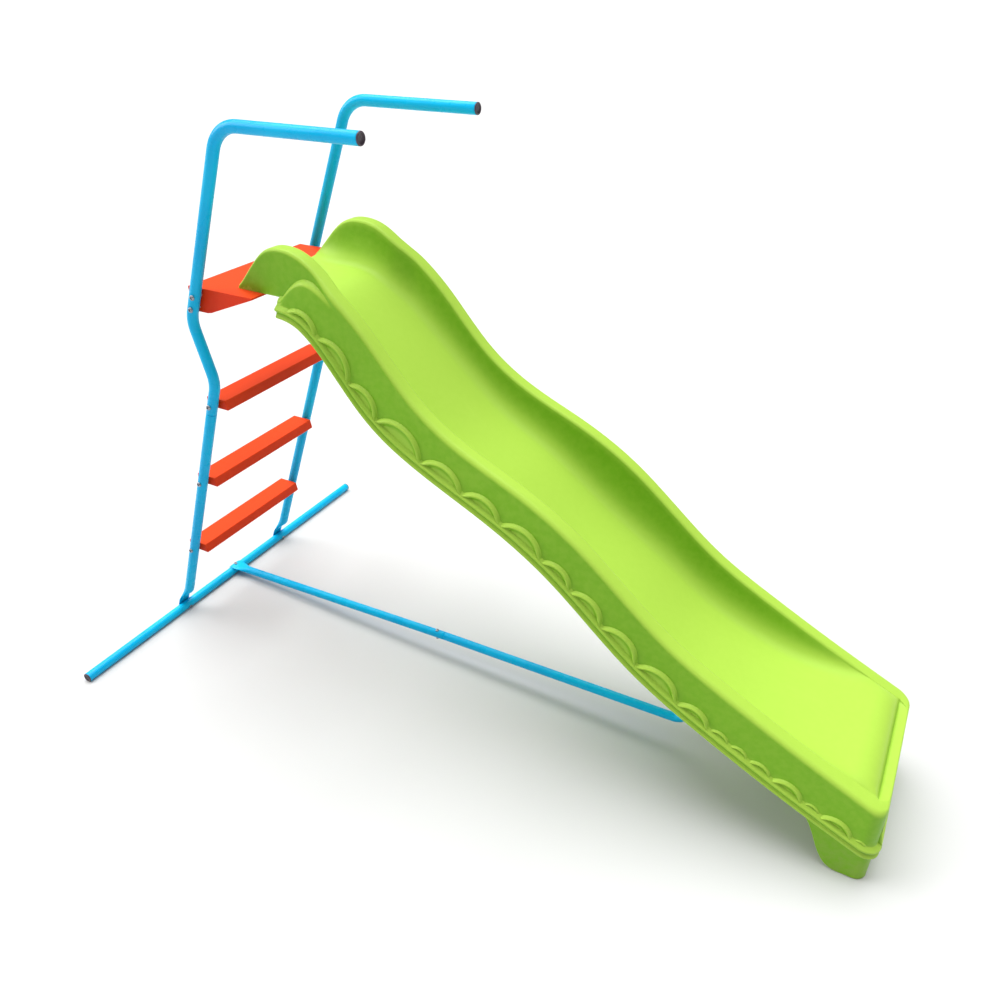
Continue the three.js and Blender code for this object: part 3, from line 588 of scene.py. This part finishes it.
def make_plug(name, tube_radius, seat, direction):
    """A push-in plug with a rounded rim and a dished middle."""
    profile = [
        (1, -12), (tube_radius - 3.2, -12), (tube_radius - 2, -10), (tube_radius - 2, GAP),
        (tube_radius - 0.4, GAP), (tube_radius, 0.9), (tube_radius - 0.2, 2), (tube_radius - 1.1, 3),
        (tube_radius - 2.4, 3.3), (tube_radius - 3.6, 2.9), (tube_radius - 4.6, 2.0), (4, 1.5), (0.5, 1.4),
    ]
    add_piece(f"visual_{name}", "black_plastic", *lathe(profile, seat, direction), [name])


for side, sign in SIDES:
    rail_end = place(RAIL_END[0], sign * UPRIGHT_OFFSET, RAIL_END[1])
    make_plug(f"rail_end_cap_{side}", UPRIGHT_RADIUS, rail_end, Vector((1, 0, 0)))
    bar_end = place(FOOT[0], sign * BAR["half_length"], FOOT[1])
    make_plug(f"base_bar_cap_{side}", BAR["radius"], bar_end, Vector((0, sign, 0)))


# ---------------------------------------------------------------- bolts and nuts

M6 = {"shank": 3, "head": 6.5, "head_height": 3.4}
M5 = {"shank": 2.5, "head": 5, "head_height": 2.6}


def make_bolt(name, size, seat, direction, length):
    """A domed head with a round recess, a shank with thread grooves and a chamfered tip."""
    head = size["head"]
    top = size["head_height"]
    shank = size["shank"]
    profile = [(0.3, -0.45 * top), (0.42 * head, -0.45 * top), (0.46 * head, -0.98 * top)]
    profile += [(0.56 * head, -top), (0.76 * head, -0.86 * top), (0.92 * head, -0.55 * top)]
    profile += [(0.985 * head, -0.2 * top), (0.97 * head, -0.02), (shank, 0)]
    thread_start = length * 0.45
    turns = int((length - thread_start - 1) / 1.0)
    for k in range(turns):
        height = thread_start + k
        profile += [(shank, height), (shank - 0.35, height + 0.5)]
    profile += [(shank, length - 0.8), (shank - 0.8, length)]
    add_piece(f"visual_{name}", "zinc_steel", *lathe(profile, seat, direction, 24), [name], sharp=60)


TREAD = {"tops": [252, 487, 722], "height": 24, "back": 30, "front": 29, "toe": 34, "wall": 4}
STEP_HALF_WIDTH = UPRIGHT_OFFSET - UPRIGHT_RADIUS - 0.5
PLATFORM = {"back": 256, "front": 440, "top": 990, "bottom": 935, "wall": 3.5, "nose": 4}
PLATFORM_BOLTS = {"upper": (292, 976), "lower": (280, 947)}
LIP_BOLT = (395, 122)
SHELL = 5.5
LIP_TOP = PLATFORM["top"] + GAP + SHELL


def make_bolts():
    head_y = UPRIGHT_OFFSET + UPRIGHT_RADIUS + GAP
    down = Vector((0, 0, -1))
    for side, sign in SIDES:
        inward = Vector((0, -sign, 0))
        for number, top in enumerate(TREAD["tops"], start=1):
            axis = upright_axis(top - TREAD["height"] / 2)
            seat = place(axis.x, sign * head_y, axis.y)
            length = head_y - STEP_HALF_WIDTH + TREAD["wall"] + GAP + 7
            make_bolt(f"tread_{number}_{side}_bolt", M6, seat, inward, length)
        for end, (x, z) in PLATFORM_BOLTS.items():
            length = head_y - STEP_HALF_WIDTH + PLATFORM["wall"] + GAP + 7
            make_bolt(f"platform_{end}_{side}_bolt", M6, place(x, sign * head_y, z), inward, length)
        seat = place(LIP_BOLT[0], sign * LIP_BOLT[1], LIP_TOP + GAP)
        make_bolt(f"lip_bolt_{side}", M6, seat, down, SHELL + PLATFORM["wall"] + 10)
        seat = place(FOOT[0], sign * UPRIGHT_OFFSET, FOOT[1])
        seat = seat - PLATE_NORMAL * ((BAR["radius"] + GAP) / 1000)
        make_bolt(f"foot_bolt_{side}", M5, seat, PLATE_NORMAL, 2 * BAR["radius"] + 12)
    screw = place(FOOT[0], 0, FOOT[1] + SADDLE_RADIUS + SADDLE["half_thickness"] + GAP)
    make_bolt("brace_saddle_screw", M5, screw, down, 11)
    joint_z = BRACE_JOINT[1] - BRACE_BOLT_BACK * BRACE_SLOPE + BRACE_RADIUS + GAP
    joint_seat = place(BRACE_JOINT[0] - BRACE_BOLT_BACK, 0, joint_z)
    make_bolt("brace_joint_bolt", M5, joint_seat, down, 2 * BRACE_RADIUS + 7)
    lug_seat = place(BRACE_ELBOW[0], -(LUG_OUTER + GAP), BRACE_TOP)
    make_bolt("brace_lug_bolt", M5, lug_seat, Vector((0, 1, 0)), 2 * LUG_OUTER + 8)


make_bolts()


def finish_nuts():
    """The CAD nuts keep their shape, with softened edges and plated steel."""
    for name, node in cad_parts.items():
        if "_nut" not in name:
            continue
        node.material_slots[0].material = MATERIALS["zinc_steel"]
        soften = node.modifiers.new("soften", "BEVEL")
        soften.width = 0.0003
        soften.segments = 2
        soften.limit_method = "ANGLE"


finish_nuts()


# ---------------------------------------------------------------- treads and platform

def step_body(outline, open_edges, half_width):
    """An open-bottomed moulding: an (x, z) outline carried across the slide, with end walls.
    `open_edges` are the outline's edges that have no wall."""
    count = len(outline)
    points = [place(x, -half_width, z) for x, z in outline]
    points += [place(x, half_width, z) for x, z in outline]
    faces = [tuple(range(count)), tuple(reversed(range(count, 2 * count)))]
    for k in range(count):
        if k not in open_edges:
            after = (k + 1) % count
            faces.append((k, count + k, count + after, after))
    return points, faces


def block(low, high):
    """A rib: a box between two corners in millimetres."""
    corners = []
    for x in (low[0], high[0]):
        for y in (low[1], high[1]):
            for z in (low[2], high[2]):
                corners.append(place(x, y, z))
    faces = [(0, 1, 3, 2), (4, 6, 7, 5), (0, 4, 5, 1), (2, 3, 7, 6), (0, 2, 6, 4), (1, 5, 7, 3)]
    return corners, faces


def finish_step(piece, wall, edge):
    """Gives a one-sided step moulding its wall thickness and soft edges."""
    walls = piece.modifiers.new("walls", "SOLIDIFY")
    walls.thickness = wall / 1000
    walls.offset = -1
    walls.use_even_offset = True
    soften = piece.modifiers.new("soften", "BEVEL")
    soften.width = edge / 1000
    soften.segments = 4
    soften.limit_method = "ANGLE"
    soften.angle_limit = math.radians(28)
    soften.harden_normals = True


def make_treads():
    for number, top in enumerate(TREAD["tops"], start=1):
        centre = upright_axis(top - TREAD["height"] / 2).x
        bottom = top - TREAD["height"]
        outline = [
            (centre - TREAD["back"], top), (centre - TREAD["back"] - 2, bottom),
            (centre + TREAD["toe"], bottom), (centre + TREAD["front"], top),
        ]
        piece = add_piece(
            f"visual_tread_{number}", "orange_plastic",
            *step_body(outline, {1}, STEP_HALF_WIDTH), [f"tread_{number}"])
        finish_step(piece, TREAD["wall"], 2.6)
        ribs = []
        for y in spread(-120, 120, 4):
            low = (centre - TREAD["back"] + 2, y - 1.5, bottom + 4)
            high = (centre + TREAD["front"] - 2, y + 1.5, top - 2)
            ribs.append(block(low, high))
        add_piece(f"visual_tread_{number}_ribs", "orange_plastic", *merged(ribs))


def make_platform():
    back, front = PLATFORM["back"], PLATFORM["front"]
    top, bottom = PLATFORM["top"], PLATFORM["bottom"]
    outline = [
        (back, top), (back, bottom + 14), (back + 3, bottom + 6), (back + 9, bottom + 1.5),
        (back + 20, bottom), (back + 46, bottom), (back + 58, bottom + 2.5), (back + 72, bottom + 8),
        (front, top - PLATFORM["nose"]), (front, top),
    ]
    piece = add_piece(
        "visual_platform_step", "orange_plastic",
        *step_body(outline, {4, 5, 6, 7}, STEP_HALF_WIDTH), ["platform_step"])
    finish_step(piece, PLATFORM["wall"], 3.2)
    ribs = []
    for y in spread(-135, 135, 4):
        ribs.append(block((back + 2, y - 1.5, top - 18), (front - 40, y + 1.5, top - 2)))
    add_piece("visual_platform_ribs", "orange_plastic", *merged(ribs))


make_treads()
make_platform()


# ---------------------------------------------------------------- chute

START = 367
END = 1871
SKIRT_START = 489
HALF_WIDTH = 188
FLARE = 28
CORNER_RADIUS = 30
CORNER_START = END - CORNER_RADIUS
RIM_WIDTH = 38
RIM_OUTER_ROUND = 13
EAR_OUTER_ROUND = 8
RIM_INNER_ROUND = 9
WALL_RUN = 48
SKIRT_DRAFT = 2
LIP_BOTTOM = PLATFORM["top"] + GAP
EAR_INSET = 13  # the ears stand this far inside the skirts
EAR_FADE = (580, 650)  # where that step closes
EAR_ROUND_FADE = (560, 650)  # where the ear's tighter outer edge turns into the rim's
ARCH_END = 665
EXIT_ROLL = {"start": 1792, "end": 1848, "flange": 1854}
FLANGE_TOP = 199

rim_curve = smooth_curve([
    (367, LIP_TOP), (410, 1043), (450, 1080), (500, 1093), (550, 1082), (600, 1049), (700, 963),
    (800, 848), (900, 769), (1040, 702), (1200, 609), (1400, 443), (1520, 371), (1700, 279),
    (1871, 199),
])
bed_curve = smooth_curve([
    (367, LIP_TOP), (500, LIP_TOP), (560, 983), (640, 925), (740, 828), (860, 716), (1000, 630),
    (1150, 523), (1300, 420), (1400, 349), (1500, 299), (1600, 265), (1700, 247), (1790, 237),
    (1830, 233), (1871, 228),
])
skirt_curve = smooth_curve([
    (367, 951), (489, 951), (540, 939), (600, 886), (687, 781), (805, 692), (982, 607),
    (1153, 503), (1324, 357), (1490, 253), (1700, 148), (1871, 73),
])
arch_curve = smooth_curve([
    (489, 982), (501, 996), (519, 1014), (540, 1030), (562, 1038), (582, 1036), (602, 1026),
    (625, 1008), (665, 970),
])

# The bead along the skirt's foot, as (outwards, upwards) points square to its edge: a lower
# lip, a shallow groove and an upper ridge with a broad rounded top.
BEAD = [
    (0, -0.6), (4, -0.4), (6.9, 0.8), (8.4, 3), (8.2, 5.4), (6.6, 7.6), (4.6, 9.4), (4, 11.6),
    (5, 14), (7.4, 16), (9.4, 18), (9.8, 20), (8.8, 22), (6.6, 24.2), (3.6, 26.4), (1, 28),
]
BEAD_TOP = 29


def bead_stretch(x):
    """How much taller the bead is upright than square to the skirt's sloping edge."""
    slope = (skirt_curve(x + 2) - skirt_curve(x - 2)) / 4
    return math.sqrt(1 + slope * slope)


def half_width(x):
    away = (END - x) / (END - START)
    into_corner = max(0, x - CORNER_START)
    cut = CORNER_RADIUS - math.sqrt(max(0, CORNER_RADIUS ** 2 - into_corner ** 2))
    return HALF_WIDTH - FLARE * away * away - cut


# The shoulder between a skirt and an ear, as (height, share of the inset) points.
LEDGE = [(-9, 0.01), (-6, 0.08), (-3.2, 0.27), (-0.8, 0.55), (1, 0.8), (2.2, 0.97)]


def rolled(x):
    """How far the top skin drops to round the first and last edges of the shell."""
    radius = 4
    reach = max(0, radius - min(x - START, END - x)) / radius
    return 0.8 * radius * (1 - math.sqrt(max(0, 1 - reach ** 2)))


def bed_height(x):
    roll = EXIT_ROLL
    if x <= roll["start"]:
        return bed_curve(x)
    groove = FLANGE_TOP - 3
    if x >= roll["end"]:
        return mix(groove, FLANGE_TOP, smooth_step(x, roll["end"], roll["flange"]))
    share = (x - roll["start"]) / (roll["end"] - roll["start"])
    return groove + (bed_curve(x) - groove) * math.sqrt(1 - share ** 2.1)


def plain_skin(half, rim, bed, foot, outer_round, drop, steps):
    """Half of the top skin as (y, z) points, from the skirt's foot to the middle of the bed."""
    inner = half - RIM_WIDTH
    round_in = min(max((rim - bed) / 2, 0.8), RIM_INNER_ROUND)
    wall_top = rim - round_in * 0.74
    controls = [
        (inner, wall_top), (inner - 0.12 * WALL_RUN, mix(wall_top, bed, 0.6)),
        (inner - 0.35 * WALL_RUN, bed), (inner - WALL_RUN, bed),
    ]
    wall = []
    for t in spread(0, 1, 2 * steps)[1:]:
        weights = [(1 - t) ** 3, 3 * t * (1 - t) ** 2, 3 * t * t * (1 - t), t ** 3]
        wall.append(tuple(sum(w * c[k] for w, c in zip(weights, controls)) for k in (0, 1)))
    points = [(half + SKIRT_DRAFT, foot)]
    points += arc((half - outer_round, rim - outer_round), outer_round, 6, 90, steps)
    points += arc((inner + round_in, rim - round_in), round_in, 90, 165, steps)
    points += wall
    points += [(mix(inner - WALL_RUN, 0, share), bed) for share in (0.2, 0.45, 0.75, 1)]
    return [(y, z - drop if i else z) for i, (y, z) in enumerate(points)]


def inward(points, thickness):
    """The skin moved inwards by the shell's thickness."""
    moved = []
    for i, (y, z) in enumerate(points):
        before = points[max(i - 1, 0)]
        after = points[min(i + 1, len(points) - 1)]
        run = Vector((after[0] - before[0], after[1] - before[1]))
        run = run.normalized() if run.length > 0 else Vector((0, 1))
        if i == 0:
            moved.append((y - thickness, z))
        elif i == len(points) - 1:
            moved.append((y, z - thickness))
        else:
            moved.append((y - run.y * thickness, z + run.x * thickness))
    return moved


def chute_ring(x):
    """One closed cross-section of the shell at x."""
    is_ear = x < SKIRT_START
    base = LIP_BOTTOM if is_ear else skirt_curve(x)
    inset = EAR_INSET * (1 - smooth_step(x, *EAR_FADE))
    rim = rim_curve(x)
    drop = rolled(x)
    half = half_width(x) - inset
    wanted_round = mix(EAR_OUTER_ROUND, RIM_OUTER_ROUND, smooth_step(x, *EAR_ROUND_FADE))
    outer_round = min(wanted_round, (rim - base) * 0.45)
    skin = plain_skin(half, rim, bed_height(x), base, outer_round, drop, 7)
    turn = math.asin(min(1, max(0, x - CORNER_START) / CORNER_RADIUS))

    panel = half + inset
    stretch = bead_stretch(max(x, SKIRT_START + 2))
    side_top = rim - outer_round - 1
    foot = skirt_curve(x)
    low = foot + BEAD_TOP * stretch
    arch = arch_curve(x) if x < ARCH_END else side_top
    ledge = min(max(arch, low + 12), side_top - 6)
    side = []
    for out, up in BEAD:
        reach = max(out, 0)
        y = panel + SKIRT_DRAFT * (1 - up / 100) + reach * math.cos(turn)
        side.append((x + reach * math.sin(turn), y, foot + up * stretch))
    for share in spread(0, 1, 5):
        side.append((x, panel + SKIRT_DRAFT * (1 - share), mix(low, ledge - 10, share)))
    for rise, share in LEDGE:
        side.append((x, panel - share * inset, ledge + rise))
    for share in spread(0.05, 1, 4):
        side.append((x, half, mix(ledge + 6, side_top, share)))
    if is_ear:
        side = [(x, half, max(z, min(LIP_BOTTOM, side_top))) for _, _, z in side]
    top = side + [(x, y, z) for y, z in skin[1:]]
    under = [(x, y, max(z, LIP_BOTTOM) if is_ear else z) for y, z in inward(skin, SHELL)]
    mirrored_top = [(a, -y, z) for a, y, z in reversed(top[:-1])]
    mirrored_under = [(a, -y, z) for a, y, z in under[:-1]]
    ring = top + mirrored_top + mirrored_under + list(reversed(under))
    return [place(*point) for point in ring]


def chute_stations():
    stations = [START, START + 0.4, START + 1.2, START + 2.4, START + 4]
    stations += spread(START + 8, SKIRT_START - 4, 20)
    stations += [SKIRT_START - 0.05, SKIRT_START + 0.05]
    stations += spread(SKIRT_START + 3, 640, 45)
    stations += spread(647, 1797, 165)
    stations += spread(1800, CORNER_START, 20)
    for degrees in spread(4, 89, 22):
        stations.append(CORNER_START + CORNER_RADIUS * math.sin(math.radians(degrees)))
    return stations


FOOT_PANEL = {"start": 1706, "inset": 3, "wall": 5, "corner": 25}
FRONT_PROUD = 1.1  # how far the exit's front wall covers the ends of the skirts
FOOT_OUTLINE = [
    (1706, 150), (1738, 122), (1748, 92), (1760, 62), (1772, 32), (1786, 0), (1814, 0),
]


def foot_bottom(x):
    """Height of the apron's lower edge at x: two Bezier curves, then the ground."""
    if x >= FOOT_OUTLINE[-1][0]:
        return 0
    controls = FOOT_OUTLINE[:4] if x < FOOT_OUTLINE[3][0] else FOOT_OUTLINE[3:]
    low, high = 0.0, 1.0
    for _ in range(30):
        t = (low + high) / 2
        weights = [(1 - t) ** 3, 3 * t * (1 - t) ** 2, 3 * t * t * (1 - t), t ** 3]
        if sum(w * c[0] for w, c in zip(weights, controls)) < x:
            low = t
        else:
            high = t
    return sum(w * c[1] for w, c in zip(weights, controls))


def apron_shape():
    """The wall round the exit that stands on the ground."""
    half = HALF_WIDTH - FOOT_PANEL["inset"]
    front = END - 1
    corner = FOOT_PANEL["corner"]
    side_path = [(x, half, 0.0) for x in spread(FOOT_PANEL["start"], front - corner, 34)]
    for degrees in spread(0, 90, 12)[1:]:
        angle = math.radians(degrees)
        side_path.append((
            front - corner + corner * math.sin(angle),
            half - corner + corner * math.cos(angle),
            angle,
        ))
    side_path += [(front, y, math.pi / 2) for y in spread(half - corner - 8, 0, 8)]
    rings = []
    for x, y, angle in side_path + [(x, -y, math.pi - a) for x, y, a in reversed(side_path[:-1])]:
        heading = Vector((math.sin(angle), math.cos(angle)))
        is_front = abs(y) < half - corner + 1
        bottom = foot_bottom(x)
        behind_skirt = min(skirt_curve(x) + 16, FLANGE_TOP - 8)
        top = mix(behind_skirt, FLANGE_TOP - 6, smooth_step(x, 1800, 1866))
        bead_foot = skirt_curve(END)
        profile = [
            (-5, top), (-5, bottom + 2), (-3.6, bottom + 0.4), (-1.6, bottom + 0.4),
            (0, bottom + 2.4), (0, bottom + 5),
        ]
        if is_front:
            profile += [(0.2, bead_foot - 0.6)]
            profile += [(1 + out, bead_foot + up) for out, up in BEAD[1:]]
            levels = (bead_foot + BEAD_TOP + 1, bead_foot + BEAD_TOP + 4, top - 4, top)
            profile += [(FRONT_PROUD, z) for z in levels]
        else:
            level = max(bottom + 6, min(bead_foot, top - 20))
            profile += [(0, z) for z in spread(level, top, len(BEAD) + 3)]
        rings.append([place(x + out * heading.x, y + out * heading.y, z) for out, z in profile])
    return loft(rings)


def lug_shapes():
    """Two plates under the bed that hold the brace's tongue."""
    shapes = []
    start, end = BRACE_ELBOW[0] - 20, BRACE_ELBOW[0] + 20
    for sign in (1, -1):
        outline = arc((BRACE_ELBOW[0], BRACE_TOP), 14, 180, 360, 12)
        outline += [(end, BRACE_TOP + 12), (end, bed_curve(end) - 2)]
        outline += [(start, bed_curve(start) - 2), (start, BRACE_TOP + 12)]
        rings = []
        for y in (sign * (LUG_OUTER - 4), sign * LUG_OUTER):
            rings.append([place(x, y, z) for x, z in outline])
        shapes.append(loft(rings))
    return shapes


def make_chute():
    shell = loft([chute_ring(x) for x in chute_stations()])
    shapes = [shell, apron_shape(), *lug_shapes()]
    piece = add_piece("visual_chute", "lime_plastic", *merged(shapes), ["chute"], sharp=50)
    weld = piece.modifiers.new("weld", "WELD")
    weld.merge_threshold = 0.00005


make_chute()

# Widths of the raised scallops along each skirt, from the top down.
SCALLOP_START = 516
SCALLOPS = [78, 72, 64, 110, 100, 92, 96, 68, 72, 82, 94, 72, 44, 42, 50, 68, 36, 68, 30]
SCALLOP_RISE = 0.31  # of the chord
SCALLOP_BASE = 23  # above the skirt's edge, square to it
# Across the ridge of a wide scallop, as (inwards, proud) points; narrow ones are scaled down.
SCALLOP_RIDGE = [
    (-1, -1.5), (0.4, 1.4), (1.8, 4.6), (3.6, 7), (5.6, 8.2), (7.6, 7.8), (9.4, 5.8), (11, 3.6),
    (13, 2.2), (16, 1.6),
]
SCALLOP_FULL_RISE = 26


def scallop_shape(start, stop, sign):
    """One raised scallop: a circular arc over the bead, proud of the skirt with a soft edge."""
    first = Vector((start, skirt_curve(start) + SCALLOP_BASE * bead_stretch(start)))
    last = Vector((stop, skirt_curve(stop) + SCALLOP_BASE * bead_stretch(stop)))
    chord = (last - first).length
    along = (last - first).normalized()
    up = Vector((-along.y, along.x))
    rise = SCALLOP_RISE * chord
    radius = (chord * chord / 4 + rise * rise) / (2 * rise)
    centre = (first + last) / 2 + up * (rise - radius)
    swing = math.asin(chord / 2 / radius)
    scale = min(1, rise / SCALLOP_FULL_RISE)
    rings = []
    for turn in spread(-swing, swing, 18):
        outward = up * math.cos(turn) + along * math.sin(turn)
        edge = centre + outward * radius
        foot = first.lerp(last, (turn + swing) / (2 * swing))
        ring = []
        for inwards, proud in SCALLOP_RIDGE:
            spot = edge - outward * min(inwards * scale, max((edge - foot).length - 0.5, 0))
            ring.append((spot, proud * scale))
        ring += [(foot, SCALLOP_RIDGE[-1][1] * scale), (foot, -2.5), (edge, -2.5)]
        rings.append([skirt_point(spot, proud, sign) for spot, proud in ring])
    return loft(rings if sign < 0 else list(reversed(rings)))


def skirt_point(spot, proud, sign):
    """A point on the outside of a skirt, `proud` outwards from it."""
    base = skirt_curve(spot.x)
    height = max(0, rim_curve(spot.x) - RIM_OUTER_ROUND - base)
    share = min(max((spot.y - base) / max(height, 1), 0), 1)
    y = half_width(spot.x) + SKIRT_DRAFT * (1 - share) + proud
    return place(spot.x, sign * y, spot.y)


def make_scallops():
    for side, sign in SIDES:
        shapes = []
        start = SCALLOP_START
        for width in SCALLOPS:
            shapes.append(scallop_shape(start, start + width, sign))
            start += width
        add_piece(f"visual_chute_scallops_{side}", "lime_plastic", *merged(shapes), sharp=60)


make_scallops()


# ---------------------------------------------------------------- floor and light

def make_floor():
    mesh = bpy.data.meshes.new("floor")
    reach = 120
    mesh.from_pydata([(-reach, -reach, 0), (reach, -reach, 0), (reach, reach, 0), (-reach, reach, 0)],
                     [], [(0, 1, 2, 3)])
    floor = bpy.data.objects.new("floor", mesh)
    bpy.context.scene.collection.objects.link(floor)
    shader = Shader("pale_floor", 0.9)
    tone = shader.ramp(shader.noise(1.5, 2), 0.3, 0.7)
    shader.colour(shader.blend(tone, (0.60, 0.60, 0.60), (0.62, 0.62, 0.62)))
    mesh.materials.append(shader.material)


def make_sun(name, toward, strength, softness):
    """A light from far away, from the direction `toward`, with soft shadows."""
    data = bpy.data.lights.new(name, "SUN")
    data.energy = strength
    data.angle = math.radians(softness)
    light = bpy.data.objects.new(name, data)
    light.rotation_euler = Vector(toward).to_track_quat("Z", "Y").to_euler()
    bpy.context.scene.collection.objects.link(light)


def make_world():
    world = bpy.data.worlds.new("studio")
    bpy.context.scene.world = world
    world.use_nodes = True
    world.node_tree.nodes["Background"].inputs["Color"].default_value = (1, 1, 1, 1)
    world.node_tree.nodes["Background"].inputs["Strength"].default_value = 0.25


make_floor()
make_world()
make_sun("key", (-0.3, 0.2, 1), 3.2, 60)
make_sun("back", (0.3, 0.1, 1), 1.5, 60)
make_sun("left", (-1, -0.35, 0.5), 1.6, 40)
bpy.context.scene.view_settings.view_transform = "Standard"
